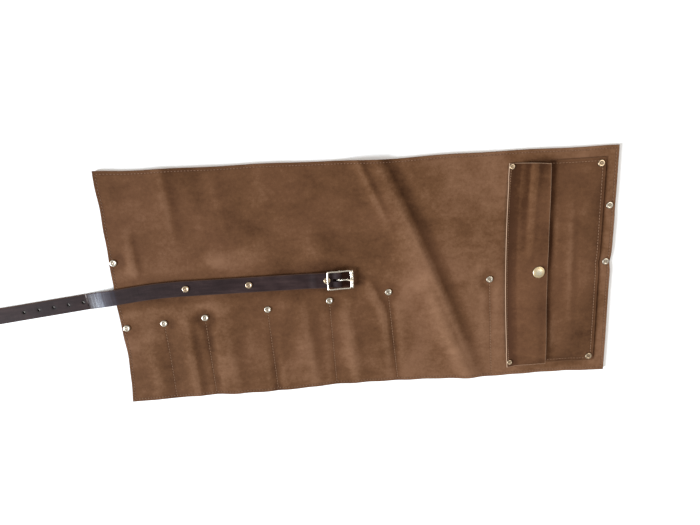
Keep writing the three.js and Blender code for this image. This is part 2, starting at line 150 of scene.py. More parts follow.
# Where each divider's seam meets the bottom edge, in millimetres along x.
divider_feet = (-161.9, -110.1, -30.0, 47.0, 127.2, 252.1)
seams = []
for number, foot_x in enumerate(divider_feet, 1):
    head = middle_of(f"divider_rivet_{number}_cap")
    seams.append(((head.x, head.y - 5.5 * mm), (foot_x * mm, body_low.y + 4 * mm)))


def from_segment(x, y, a, b):
    """The distance from each point to the straight line from a to b: the point's share of the way along it,
    kept within 0 and 1, gives the nearest place."""
    run = np.array(b) - np.array(a)
    share = np.clip(((x - a[0]) * run[0] + (y - a[1]) * run[1]) / (run @ run), 0, 1)
    return np.hypot(x - a[0] - share * run[0], y - a[1] - share * run[1])


def rectangle(left, bottom, right, top):
    """The corners of a rectangle, from the lower left one round to the upper left one."""
    return [(left, bottom), (right, bottom), (right, top), (left, top)]


def lie(x, y):
    """The height of the leather above its flat place, in metres: the swell, less what the rivets, the seams,
    the strap, the buckle, the snap and the side pocket's seams hold down."""
    free = np.ones(np.broadcast(x, y).shape)
    for name in cap_names:
        at = middle_of(name)
        free = free * (1 - pin(np.hypot(x - at.x, y - at.y), 5 * mm, 10 * mm))
    snap = middle_of("snap_cap")
    free = free * (1 - pin(np.hypot(x - snap.x, y - snap.y), 8 * mm, 14 * mm))
    beside = np.abs(y - strap_middle_y(x)) + np.maximum(x - strap_end_x, 0)
    free = free * (1 - pin(beside, 13 * mm, 13 * mm))
    for a, b in seams:
        free = free * (1 - 0.75 * pin(from_segment(x, y, a, b), 0, 7 * mm))
    for name in ("flap_margin", "side_pocket_panel"):
        low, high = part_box(name)
        corners = rectangle(low.x, low.y, high.x, high.y)
        sides = ((3, 0),) if name == "flap_margin" else ((0, 1), (1, 2), (2, 3))
        for a, b in sides:
            free = free * (1 - 0.85 * pin(from_segment(x, y, corners[a], corners[b]), 3 * mm, 8 * mm))
    return swell(x, y) * free


def drawn_in(x, y):
    """Where a point of the flat panel lies once the leather has shrunk and frayed at its edges: the left edge
    bows in by 4 mm, the bottom one by up to 6, the upper left corner is stretched out by 2 mm, and the cut
    edges wander by up to half a millimetre. Each shift dies off inwards as a bell curve."""
    u, v = x / mm, y / mm
    from_left, from_right = u - body_low.x / mm, body_high.x / mm - u
    from_bottom, from_top = v - body_low.y / mm, body_high.y / mm - v
    left = 4.3 * np.exp(-(((v + 88) / 50) ** 2)) + 0.3 * np.sin(v / 7.3) * np.exp(-((from_left / 6) ** 2))
    right = 0.6 * np.exp(-(((v + 27) / 40) ** 2)) + 1.6 * np.exp(-(((v - 1.5) / 7) ** 2)) + 0.8
    bottom = 1.8 + 3.8 * np.exp(-(((u - 90) / 85) ** 2)) + 0.5 * np.sin(u / 23) + 0.25 * np.sin(u / 6.1)
    bottom = bottom * ease((from_left + 2.2) / 60) * ease((from_right + 1.8) / 60)
    top = 2.2 * np.exp(-(((u - 113) / 70) ** 2)) + 0.35 * np.sin(u / 17)
    corner = np.exp(-((from_left / 30) ** 2) - (from_top / 30) ** 2)
    inwards = left * np.exp(-((from_left / 46) ** 2)) - right * np.exp(-((from_right / 30) ** 2))
    upwards = bottom * np.exp(-((from_bottom / 38) ** 2)) - top * np.exp(-((from_top / 30) ** 2))
    return x + (inwards - 2.2 * corner) * mm, y + (upwards + 1.8 * corner) * mm


# Where the grid lines stand near a cut edge, as shares of the edge's rounding.
edge_lines = np.array([0, 0.08, 0.3, 0.62, 1.0, 1.9])
# The two faces of a panel are marked this far apart, so that their patterns differ.
faces_apart = 0.013


def across_panel(start, end, step, rounding):
    """The grid lines across a strip of leather from start to end: close together where the edge turns over,
    within the rounding, then at even steps. Gives the places and each one's distance from the nearer edge."""
    near = rounding * edge_lines
    count = max(2, int(round((end - start - 2 * near[-1]) / step)))
    even = np.linspace(start + near[-1], end - near[-1], count + 1)[1:-1]
    places = np.concatenate([start + near, even, (end - near)[::-1]])
    return places, np.minimum(places - start, end - places)


def turn_over(distance, rounding):
    """How far a rounded edge drops at this distance from the cut: a quarter circle with that radius."""
    return rounding - np.sqrt(np.maximum(rounding**2 - np.maximum(rounding - distance, 0) ** 2, 0))


def skin(name, points, quads, triangles=None):
    """An object at the origin whose mesh has these points and faces, smooth-shaded but for sharp turns."""
    mesh = bpy.data.meshes.new(name)
    groups = [quads] if triangles is None else [quads, triangles]
    corners = np.concatenate([g.ravel() for g in groups]).astype(np.int32)
    sizes = np.concatenate([np.full(len(g), g.shape[1]) for g in groups])
    mesh.vertices.add(len(points))
    mesh.vertices.foreach_set("co", np.asarray(points, np.float32).ravel())
    mesh.loops.add(len(corners))
    mesh.loops.foreach_set("vertex_index", corners)
    mesh.polygons.add(len(sizes))
    mesh.polygons.foreach_set("loop_start", np.concatenate([[0], np.cumsum(sizes)[:-1]]).astype(np.int32))
    mesh.update(calc_edges=True)
    mesh.validate()
    mesh.shade_smooth()
    mesh.set_sharp_from_angle(angle=math.radians(50))
    made = bpy.data.objects.new(name, mesh)
    bpy.context.scene.collection.objects.link(made)
    return made


def closed_skin(name, upper, lower, kept=None):
    """A closed mesh from two matching grids of points. Each kept cell gives a face above and one below,
    turned outwards, and each cell edge that only one kept cell uses gives a wall face between the two grids.
    Gives the object and the numbers of the points it uses."""
    rows, columns = upper.shape[:2]
    index = np.arange(rows * columns).reshape(rows, columns)
    cells = np.stack([index[:-1, :-1], index[:-1, 1:], index[1:, 1:], index[1:, :-1]], -1).reshape(-1, 4)
    if kept is not None:
        cells = cells[kept.ravel()]
    total = rows * columns
    edges = np.concatenate([cells[:, [0, 1]], cells[:, [1, 2]], cells[:, [2, 3]], cells[:, [3, 0]]])
    forward = edges[:, 0] * total + edges[:, 1]
    backward = edges[:, 1] * total + edges[:, 0]
    rim = edges[~np.isin(forward, backward)]
    walls = np.stack([rim[:, 1], rim[:, 0], rim[:, 0] + total, rim[:, 1] + total], -1)
    faces = np.concatenate([cells, cells[:, ::-1] + total, walls])
    points = np.concatenate([upper.reshape(-1, 3), lower.reshape(-1, 3)])
    used, faces = np.unique(faces, return_inverse=True)
    made = skin(name, points[used], faces.reshape(-1, 4))
    return made, used


def mark(piece, name, values):
    """Gives each point of the piece's mesh a number, or three, that its material can read by that name."""
    kind = "FLOAT" if np.ndim(values) == 1 else "FLOAT_VECTOR"
    field = "value" if kind == "FLOAT" else "vector"
    layer = piece.data.attributes.new(name, kind, "POINT")
    layer.data.foreach_set(field, np.asarray(values, np.float32).ravel())


def bulge_of(rise, x, y):
    """How far a surface bulges: its height less the mean height 5 mm away on four sides, scaled to about
    -1 to 1."""
    step = 5 * mm
    around = (rise(x + step, y) + rise(x - step, y) + rise(x, y + step) + rise(x, y - step)) / 4
    return np.clip((rise(x, y) - around) / (0.16 * mm), -1, 1)


def leather_panel(
    name, sides, bottom, top, rise, floor, thickness, step=2.3 * mm, rounding=0.55 * mm, laid=drawn_in
):
    """A panel of leather between two sides in x and a bottom and a top line in y, given as functions of x.
    It follows the height rise(x, y) above its floor, its edges turn over, both faces are kept apart by its
    thickness, and laid(x, y) says where each point of the flat panel ends up. The material reads cut, the
    place on the flat hide, the bulge, which pales the crests as rubbed and paints shade into the hollows,
    and raw, its cut edge."""
    xs, from_side = across_panel(*sides, step, rounding)
    near = rounding * edge_lines
    tall = float(np.max(top(xs) - bottom(xs)))
    share = np.linspace(0, 1, max(3, int(round(tall / step))) + 1)[1:-1]
    low_line = np.concatenate([np.zeros(len(near)), share, np.ones(len(near))])
    offset = np.concatenate([near, near[-1] * (1 - 2 * share), -near[::-1]])
    y = bottom(xs)[None, :] * (1 - low_line)[:, None] + top(xs)[None, :] * low_line[:, None] + offset[:, None]
    x = np.broadcast_to(xs[None, :], y.shape)
    from_end = np.minimum(y - bottom(xs)[None, :], top(xs)[None, :] - y)
    edge = np.minimum(np.broadcast_to(from_side[None, :], y.shape), from_end)
    drop = turn_over(edge, rounding)
    height = floor + rise(x, y)
    px, py = laid(x, y)
    upper = np.stack([px, py, height + thickness - drop], -1)
    lower = np.stack([px, py, height + drop], -1)
    made, used = closed_skin(name, upper, lower)
    raw = 1 - ease(edge / (1.4 * rounding))
    rub_and_shade = bulge_of(rise, x, y)
    side = np.repeat([faces_apart, 0.0], x.size)
    flat = np.concatenate([np.stack([x.ravel(), y.ravel()], -1)] * 2)
    mark(made, "cut", np.column_stack([flat, side])[used])
    mark(made, "rub_and_shade", np.concatenate([rub_and_shade.ravel(), -rub_and_shade.ravel()])[used])
    mark(made, "raw", np.tile(raw.ravel(), 2)[used])
    return made


def hide_places(panel):
    """Each point's place on the flat hide, x and y, and 1 on its outer face or 0 on its inner one."""
    places = np.empty(len(panel.data.vertices) * 3, np.float32)
    panel.data.attributes["cut"].data.foreach_get("vector", places)
    x, y, side = places.reshape(-1, 3).T
    return x, y, side / faces_apart


body_thickness = body_high.z - body_low.z
body = leather_panel(
    "suede_body_panel",
    (body_low.x, body_high.x),
    lambda x: np.full_like(x, body_low.y),
    lambda x: np.full_like(x, body_high.y),
    lie,
    body_low.z,
    body_thickness,
)


def paint(red, green, blue):
    """A colour from its 0 to 255 screen values, turned into the linear values that the shaders take."""
    screen = np.array([red, green, blue]) / 255
    linear = np.where(screen <= 0.04045, screen / 12.92, ((screen + 0.055) / 1.055) ** 2.4)
    return (*linear.tolist(), 1.0)


def shader(tree, kind, wires=None, **settings):
    """Adds one node of that kind. Its settings are its own, and wires gives each input a value or a
    socket."""
    made = tree.nodes.new("ShaderNode" + kind)
    for setting, value in settings.items():
        setattr(made, setting, value)
    for socket, value in (wires or {}).items():
        if isinstance(value, bpy.types.NodeSocket):
            tree.links.new(value, made.inputs[socket])
        else:
            made.inputs[socket].default_value = value
    return made


def clouds(tree, place, scale, detail=4.0, roughness=0.55, distortion=0.0):
    """Noise of that many lumps to the metre, as a value about 0.5."""
    wires = {"Vector": place, "Scale": scale, "Detail": detail, "Roughness": roughness}
    return shader(tree, "TexNoise", {**wires, "Distortion": distortion}).outputs["Fac"]


def stretched(tree, place, scale, turn=0.0):
    """The place with its axes turned and scaled, so that a pattern on it runs in streaks."""
    wires = {"Vector": place, "Scale": scale, "Rotation": (0, 0, turn)}
    return shader(tree, "Mapping", wires).outputs["Vector"]


def spread(tree, value, low, high, to_low=0.0, to_high=1.0):
    """Turns the stretch of values from low to high into to_low to to_high, and holds it there outside."""
    wires = {"Value": value, "From Min": low, "From Max": high, "To Min": to_low, "To Max": to_high}
    return shader(tree, "MapRange", wires).outputs["Result"]


def sums(tree, kind, a, b=0.0, c=0.0):
    """One piece of arithmetic on numbers or sockets."""
    return shader(tree, "Math", {0: a, 1: b, 2: c}, operation=kind).outputs[0]


def tint(tree, share, a, b):
    """Colour a, with colour b over it by that share."""
    return shader(tree, "Mix", {0: share, 6: a, 7: b}, data_type="RGBA").outputs[2]


def colour_scale(tree, value, *stops):
    """A run of colours along a value, given as (place, colour) stops."""
    made = shader(tree, "ValToRGB", {"Fac": value})
    ramp = made.color_ramp
    ramp.elements[0].position, ramp.elements[0].color = stops[0]
    ramp.elements[1].position, ramp.elements[1].color = stops[-1]
    for place, colour in stops[1:-1]:
        ramp.elements.new(place).color = colour
    return made.outputs["Color"]


def effect(name, inputs, outputs):
    """A new shader node group. An input is given as (name, kind, starting value) and an output as (name,
    kind). Gives the group, and the inside ends of both."""
    group = bpy.data.node_groups.new(name, "ShaderNodeTree")
    for title, kind, value in inputs:
        socket = group.interface.new_socket(title, in_out="INPUT", socket_type="NodeSocket" + kind)
        if value is not None:
            socket.default_value = value
    for title, kind in outputs:
        group.interface.new_socket(title, in_out="OUTPUT", socket_type="NodeSocket" + kind)
    return group, group.nodes.new("NodeGroupInput").outputs, group.nodes.new("NodeGroupOutput").inputs


def new_material(name):
    """A new material: it, its tree of nodes and its surface shader."""
    made = bpy.data.materials.new(name)
    made.use_nodes = True
    return made, made.node_tree, made.node_tree.nodes["Principled BSDF"]


def carried(tree, name, output="Fac"):
    """What the piece's mesh carries under that name."""
    return shader(tree, "Attribute", attribute_name=name).outputs[output]


def raised(tree, face, height, strength, distance):
    """Raises the surface by a pattern of heights, through the shader's Normal."""
    relief = shader(tree, "Bump", {"Height": height, "Strength": strength, "Distance": distance})
    tree.links.new(relief.outputs["Normal"], face.inputs["Normal"])


# Suede nap: brushed fibres that lie one way or the other in patches, so the hide is mottled in clouds
# and streaks, ruddy in places. Its Bulge input makes a wave's crest paler, as rubbed, and darkens a hollow
# as painted shade, and its Pallor input brings the painted shade and tone that the mesh carries.
nap, given, result = effect(
    "suede_nap",
    [
        ("Place", "Vector", None),
        ("Bulge", "Float", 0.0),
        ("Raw", "Float", 0.0),
        ("Pallor", "Float", 0.0),
        ("Deep", "Color", paint(55, 29, 8)),
        ("Hide", "Color", paint(88, 57, 33)),
        ("Pale", "Color", paint(130, 95, 70)),
        ("Cut", "Color", paint(128, 94, 70)),
    ],
    [("Colour", "Color"), ("Roughness", "Float"), ("Height", "Float")],
)
hide_place = given["Place"]
tide = clouds(nap, hide_place, 10.0, 3.0, 0.5, 0.6)
patch = clouds(nap, hide_place, 24.0, 4.0, 0.55, 0.6)
brushed = clouds(nap, stretched(nap, hide_place, (42, 90, 60), 0.5), 1.0, 5.0, 0.62, 0.5)
fleck = clouds(nap, hide_place, 260.0, 4.0, 0.7)
fibre = clouds(nap, hide_place, 1500.0, 3.0, 0.65)
tone = sums(nap, "MULTIPLY_ADD", tide, 0.4, sums(nap, "MULTIPLY", patch, 0.26))
tone = sums(nap, "MULTIPLY_ADD", brushed, 0.2, tone)
tone = sums(nap, "MULTIPLY_ADD", fleck, 0.24, tone)
tone = sums(nap, "MULTIPLY_ADD", fibre, 0.16, tone)
# The bulge pales rubbed crests and darkens hollows as painted shade.
tone = sums(nap, "MULTIPLY_ADD", given["Bulge"], 0.1, tone)
tone = sums(nap, "ADD", tone, given["Pallor"])
deep_side = tint(nap, spread(nap, tone, 0.4, 0.62), given["Deep"], given["Hide"])
hide_colour = tint(nap, spread(nap, tone, 0.62, 0.9), deep_side, given["Pale"])
ruddy = tint(nap, spread(nap, tide, 0.4, 0.68, 0.0, 0.3), hide_colour, paint(96, 62, 43))
pore = spread(nap, clouds(nap, hide_place, 620.0, 2.0, 0.5), 0.66, 0.74, 0.0, 0.35)
pitted = tint(nap, pore, ruddy, paint(44, 25, 13))
nap.links.new(tint(nap, given["Raw"], pitted, given["Cut"]), result["Colour"])
nap.links.new(spread(nap, tone, 0.45, 0.85, 0.97, 0.84), result["Roughness"])
bumps = sums(nap, "MULTIPLY_ADD", fibre, 0.35, sums(nap, "MULTIPLY", fleck, 0.65))
bumps = sums(nap, "SUBTRACT", bumps, sums(nap, "MULTIPLY", pore, 0.8))
nap.links.new(sums(nap, "MULTIPLY_ADD", patch, 1.1, bumps), result["Height"])

# A sewn line: the thread pulls the leather into a shallow channel, dark at the bottom. The value is 1 on the
# line from start to end and dies off over the width, by the distance to the nearest place on the line.
channel, given, result = effect(
    "seam_channel",
    [
        ("Place", "Vector", None),
        ("Start", "Vector", None),
        ("End", "Vector", None),
        ("Width", "Float", 1.3 * mm),
    ],
    [("Channel", "Float")],
)


def vectors(kind, a, b, output="Vector"):
    """One piece of vector arithmetic in the seam channel."""
    return shader(channel, "VectorMath", {0: a, 1: b}, operation=kind).outputs[output]


run = vectors("SUBTRACT", given["End"], given["Start"])
away = vectors("MULTIPLY", vectors("SUBTRACT", given["Place"], given["Start"]), (1, 1, 0))
reach = vectors("DOT_PRODUCT", away, run, "Value")
whole = vectors("DOT_PRODUCT", run, run, "Value")
part_way = shader(channel, "Math", {0: reach, 1: whole}, operation="DIVIDE", use_clamp=True).outputs[0]
nearest = shader(channel, "VectorMath", {0: run, "Scale": part_way}, operation="SCALE").outputs["Vector"]
across = sums(channel, "DIVIDE", vectors("DISTANCE", away, nearest, "Value"), given["Width"])
channel.links.new(spread(channel, across, 0.1, 1.0, 1.0, 0.0), result["Channel"])


def suede(name, channels=(), pallor=0.0, **colours):
    """A suede material: the nap group on the place on the hide, with the painted shade and tone and the
    painted shadow under the buckle that the mesh carries, and a channel along each sewn line given."""
    made, tree, face = new_material(name)
    place = carried(tree, "cut", "Vector")
    # Pallor carries the mesh's painted shade and tone.
    wires = {
        "Place": place,
        "Bulge": carried(tree, "rub_and_shade"),
        "Raw": carried(tree, "raw"),
        "Pallor": sums(tree, "ADD", carried(tree, "painted_shade_and_tone"), pallor),
    }
    painted_shade_and_tone = shader(tree, "Group", {**wires, **colours}, node_tree=nap).outputs
    colour, height = painted_shade_and_tone["Colour"], painted_shade_and_tone["Height"]
    # Painted shadow under the buckle: the mesh's mark tints the suede dark brown.
    colour = tint(tree, sums(tree, "MULTIPLY", carried(tree, "painted_buckle_shadow"), 0.88), colour, paint(46, 22, 14))
    sewn = None
    for a, b in channels:
        ends = {"Place": place, "Start": (*a, 0), "End": (*b, 0)}
        line = shader(tree, "Group", ends, node_tree=channel).outputs["Channel"]
        sewn = line if sewn is None else sums(tree, "MAXIMUM", sewn, line)
    if sewn is not None:
        colour = tint(tree, sums(tree, "MULTIPLY", sewn, 0.22), colour, paint(64, 38, 22))
        height = sums(tree, "SUBTRACT", height, sums(tree, "MULTIPLY", sewn, 1.8))
    tree.links.new(colour, face.inputs["Base Color"])
    tree.links.new(painted_shade_and_tone["Roughness"], face.inputs["Roughness"])
    raised(tree, face, height, 0.8, 0.22 * mm)
    face.inputs["Specular IOR Level"].default_value = 0.22
    face.inputs["Sheen Weight"].default_value = 0.22
    face.inputs["Sheen Roughness"].default_value = 0.45
    face.inputs["Sheen Tint"].default_value = paint(214, 176, 146)
    return made


# Marks on the outer face only. The upper left and a band down the middle are darker, and the right is a
# little paler. Painted shade darkens the lee of the longest wave and the lines beside the strap and the
# side pocket, and painted shadow darkens the suede under and inside the buckle.
body_x, body_y, outward = hide_places(body)
darker_areas = ease((0.2 - body_x) / 0.34) * ease((body_y + 0.01) / 0.08)
by_ridge = np.exp(-(((body_x - 0.03) / 0.09) ** 2)) * ease((body_y + 0.15) / 0.1)
darker_areas = np.maximum(darker_areas, 0.8 * by_ridge)
pocket_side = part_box("side_pocket_panel")[1].x + 1.6 * mm
pocket_edge_shade = np.exp(-(((body_x - pocket_side) / (1.9 * mm)) ** 2)) * ease((0.131 - np.abs(body_y)) / 0.006)
lee_shade = ridge(body_x / mm, body_y / mm, (113, 150), (235, -150), (0.6, 1.0, 0.3), 6, 9, bow=5)
paler = 0.02 + 0.05 * ease((body_x - 0.1) / 0.1)
beyond = body_x - strap_end_x
from_strap = np.abs(body_y - strap_middle_y(body_x)) + np.maximum(beyond, 0)
strap_side_shade = np.exp(-((np.maximum(from_strap - 10 * mm, 0) / (6 * mm)) ** 2))
mark(body, "painted_shade_and_tone", (paler - 0.09 * darker_areas - 0.24 * pocket_edge_shade - 0.11 * lee_shade - 0.07 * strap_side_shade) * outward)
# Painted shadow under and inside the buckle, a band as wide as the strap round its end.
aside = np.abs(body_y - strap_side.y + 1.5 * mm)
in_window = ease(-beyond / (4 * mm)) * ease((beyond + 30 * mm) / (8 * mm))
buckle_shadow_mask = ease((12.5 * mm - aside) / (4 * mm)) * (in_window + 0.3 * np.exp(-((beyond / (9 * mm)) ** 2)))
mark(body, "painted_buckle_shadow", buckle_shadow_mask * outward)

hem = 3.6 * mm  # from the cut edge to the stitching
hem_corners = rectangle(body_low.x + hem, body_low.y + hem, body_high.x - hem, body_high.y - hem)
hem_lines = [(hem_corners[i], hem_corners[(i + 1) % 4]) for i in range(4)]
body_suede = suede("suede_outer", channels=[*seams, *hem_lines], Cut=paint(84, 54, 34))
body.data.materials.append(body_suede)
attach(body, "roll")
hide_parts("body_panel")

# ---------------------------------------------------------------------------------------------
# Inner pocket panels, which lie against the bench: a lower one with a slanted mouth that holds the
# tools, and a shorter one that covers their tips. Thinner suede, sewn to the body round the edges.
# ---------------------------------------------------------------------------------------------
lower_low, lower_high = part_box("lower_pocket_panel")
tip_low, tip_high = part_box("tip_pocket_panel")
inner_thickness = lower_high.z - lower_low.z
mouth_left, mouth_right = -40.5 * mm, lower_high.y
tip_edge_left, tip_edge_right = tip_low.y, 69.0 * mm


def along_roll(left, right):
    """A straight line across the roll: left at its left edge, right at its right edge."""
    return lambda x: left + (right - left) * (x - lower_low.x) / (lower_high.x - lower_low.x)


lower_pocket = leather_panel(
    "suede_lower_pocket",
    (lower_low.x, lower_high.x),
    lambda x: np.full_like(x, lower_low.y),
    along_roll(mouth_left, mouth_right),
    lie,
    lower_low.z,
    inner_thickness,
    step=2.9 * mm,
    rounding=0.45 * mm,
)
tip_pocket = leather_panel(
    "suede_tip_pocket",
    (tip_low.x, tip_high.x),
    along_roll(tip_edge_left, tip_edge_right),
    lambda x: np.full_like(x, tip_high.y),
    lie,
    tip_low.z,
    inner_thickness,
    step=2.9 * mm,
    rounding=0.45 * mm,
)
inner_suede = suede(
    "suede_inner",
    channels=[*seams, *hem_lines],
    pallor=0.05,
    Deep=paint(84, 50, 27),
    Hide=paint(126, 88, 60),
)
lower_mean = (mouth_left + mouth_right) / 2 - lower_low.y
tip_mean = tip_high.y - (tip_edge_left + tip_edge_right) / 2
for piece, node, deepest, mean_depth in (
    (lower_pocket, "lower_pocket_panel", lower_high.y - lower_low.y, lower_mean),
    (tip_pocket, "tip_pocket_panel", tip_high.y - tip_low.y, tip_mean),
):
    piece.data.materials.append(inner_suede)
    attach(piece, "roll")
    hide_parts(node)

# ---------------------------------------------------------------------------------------------
# Side pocket: a panel of the same suede on the outer face, sewn along its top, right side and
# bottom. Its left edge is the mouth, which lies under the flap and gapes a little.
# ---------------------------------------------------------------------------------------------
pocket_low, pocket_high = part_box("side_pocket_panel")
pocket_hem = 4 * mm


def pocket_rise(x, y):
    """The side pocket's height above its flat place: the body's, and a slack bulge of two sine waves and one
    crease that dies off at the three sewn sides, at the snap and under the flap."""
    u = (x - pocket_low.x) / (pocket_high.x - pocket_low.x)
    v = (y - pocket_low.y) / (pocket_high.y - pocket_low.y)
    slack = ease((1 - u) / 0.3) * ease(v / 0.16) * ease((1 - v) / 0.14)
    shape = 0.9 + 0.5 * np.sin(2 * math.pi * (1.5 * v + 0.5 * u))
    shape = shape + 0.45 * np.sin(2 * math.pi * (2.3 * v - 0.9 * u) + 1)
    snap = middle_of("snap_cap")
    held = pin(np.hypot(x - snap.x, y - snap.y), 7 * mm, 17 * mm)
    under_flap = 0.2 + 0.8 * ease((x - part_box("pocket_flap")[1].x + 2 * mm) / (14 * mm))
    crease = ridge(x / mm, y / mm, (345, 110), (352, -100), (0.0, 0.9, 0.0), 10, 5)
    return lie(x, y) + (1.15 * mm * np.maximum(shape, 0.1) + crease * mm) * slack * under_flap * (1 - held)


side_pocket = leather_panel(
    "suede_side_pocket",
    (pocket_low.x, pocket_high.x),
    lambda x: np.full_like(x, pocket_low.y),
    lambda x: np.full_like(x, pocket_high.y),
    pocket_rise,
    pocket_low.z,
    pocket_high.z - pocket_low.z,
    step=2.0 * mm,
    rounding=0.45 * mm,
)
pocket_corners = rectangle(
    pocket_low.x + 2 * mm,
    pocket_low.y + pocket_hem,
    pocket_high.x - pocket_hem,
    pocket_high.y - pocket_hem,
)
pocket_seams = [(pocket_corners[i], pocket_corners[i + 1]) for i in range(3)]
# Painted shadow of the flap's free edge lies in a wandering line along it on the pocket.
hide_x, hide_y, _ = hide_places(side_pocket)
wander = 2.6 + 1.6 * np.sin(hide_y / (15 * mm)) + 0.9 * np.sin(hide_y / (6 * mm))
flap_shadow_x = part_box("pocket_flap")[1].x + wander * mm
mark(side_pocket, "painted_shade_and_tone", -0.2 * np.exp(-(((hide_x - flap_shadow_x) / (3.4 * mm)) ** 2)))
pocket_suede = suede("suede_pocket", channels=pocket_seams, pallor=-0.07, Cut=paint(98, 68, 47))
side_pocket.data.materials.append(pocket_suede)
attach(side_pocket, "roll")
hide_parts("side_pocket_panel")

# ---------------------------------------------------------------------------------------------
# Pocket flap: one strip of suede. Its left margin is sewn and riveted to the body, and the leaf
# rises over the pocket's mouth and lies on the pocket, its free edge standing a little proud.
# ---------------------------------------------------------------------------------------------
margin_low, margin_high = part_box("flap_margin")
leaf_low, leaf_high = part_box("pocket_flap")
flap_thickness = margin_high.z - margin_low.z
leaf_lift = leaf_high.z - flap_thickness - margin_low.z


def flap_rise(x, y):
    """The flap's height above its margin: a lip at its cut edge, and a climb over 30 mm that eases off like a
    quarter sine, with a ridge over the pocket's mouth, a free edge that curls up as the square of the way
    out, and slack of two sine waves. It is flat round the snap, and the body's height comes under it all."""
    climb = np.sin(math.pi / 2 * np.clip((x - margin_high.x + 1 * mm) / (30 * mm), 0, 1))
    out = np.clip((x - margin_high.x) / (leaf_high.x - margin_high.x), 0, 1)
    v = (y - leaf_low.y) / (leaf_high.y - leaf_low.y)
    snap = middle_of("snap_cap")
    held = pin(np.hypot(x - snap.x, y - snap.y), 8.5 * mm, 16 * mm)
    lip = 1.7 * np.exp(-(((x - margin_low.x) / (1.6 * mm)) ** 2))
    curl = out**2 * (0.9 + 1.6 * ease((v - 0.62) / 0.3) + 0.9 * ease((0.3 - v) / 0.3) + 0.5 * np.sin(v * 17))
    over_mouth = ridge(x / mm, y / mm, (299, 150), (294, -10), (2.2, 1.5, 0.0), 5.5, 5.5)
    slack = 0.5 * np.sin(y / (17 * mm)) + 0.45 * np.sin(y / (29 * mm) + x / (13 * mm))
    loose = (curl + over_mouth + slack) * climb * (1 - held)
    lip = lip * ease((v - 0.06) / 0.05) * ease((0.94 - v) / 0.05)
    return lie(x, y) + leaf_lift * climb + (loose + lip) * mm


def flap_laid(x, y):
    """Where a point of the flap lies: as the body is drawn in, and then its sewn edge bows out to the left by
    1.4 mm and its foot swings 4.4 mm to the right, and its foot and its free top corner are cut aslant."""
    px, py = drawn_in(x, y)
    v = np.clip((y - leaf_low.y) / (leaf_high.y - leaf_low.y), 0, 1)
    out = np.clip((x - margin_low.x) / (leaf_high.x - margin_low.x), 0, 1)
    sewn_shift = 16 * v**2 - 19.2 * v + 4.4
    free_shift = 1.8 - 3.6 * v
    foot = (-3.0 + 4.5 * out) * (1 - v) ** 3
    head = -3.5 * out * v**3
    return px + (sewn_shift * (1 - out) + free_shift * out) * mm, py + (foot + head) * mm


flap = leather_panel(
    "suede_flap",
    (margin_low.x, leaf_high.x),
    lambda x: leaf_low.y + 0.7 * mm * np.sin(x / (11 * mm)),
    lambda x: leaf_high.y - 0.7 * mm - 0.6 * mm * np.sin(x / (13 * mm)),
    flap_rise,
    margin_low.z,
    flap_thickness,
    step=1.6 * mm,
    rounding=0.45 * mm,
    laid=flap_laid,
)
# The outer face has painted shade in the valley beside the sewn edge, and is darker towards the foot.
flap_x, flap_y, outward = hide_places(flap)
from_seam = flap_x - margin_low.x - 4.5 * mm
low_end = ease((0.02 - flap_y) / 0.1)
mark(flap, "painted_shade_and_tone", (-0.13 * np.exp(-((from_seam / (2.6 * mm)) ** 2)) - 0.02 - 0.045 * low_end) * outward)
flap_seam_x = margin_low.x + 2.6 * mm
flap_seam = ((flap_seam_x, leaf_low.y + 6 * mm), (flap_seam_x, leaf_high.y - 6 * mm))
flap.data.materials.append(suede("suede_flap", channels=[flap_seam], pallor=-0.08, Cut=paint(176, 146, 122)))
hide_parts("flap_margin", "pocket_flap")
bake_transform(flap)

# ---------------------------------------------------------------------------------------------
# Sewing: waxed tan thread in 3.8 mm stitches round the hem, down the six dividers and round the side
# pocket, and in 3 mm ones on the flap's margin. On the inner face the thread is pulled into the leather.
# ---------------------------------------------------------------------------------------------
stitch_rings = 4
stitch_sides = 6


def joined_rings(ids, below, above):
    """The faces of a tube from its rings of point numbers: quads from each ring to the next, and a fan of
    triangles from the point below the first ring and from the one above the last."""
    after = np.roll(ids, -1, 1)
    quads = np.stack([ids[:-1], after[:-1], after[1:], ids[1:]], -1).reshape(-1, 4)
    fans = np.concatenate([
        np.column_stack([np.full(ids.shape[1], below), after[0], ids[0]]),
        np.column_stack([np.full(ids.shape[1], above), ids[-1], after[-1]]),
    ])
    return quads, fans


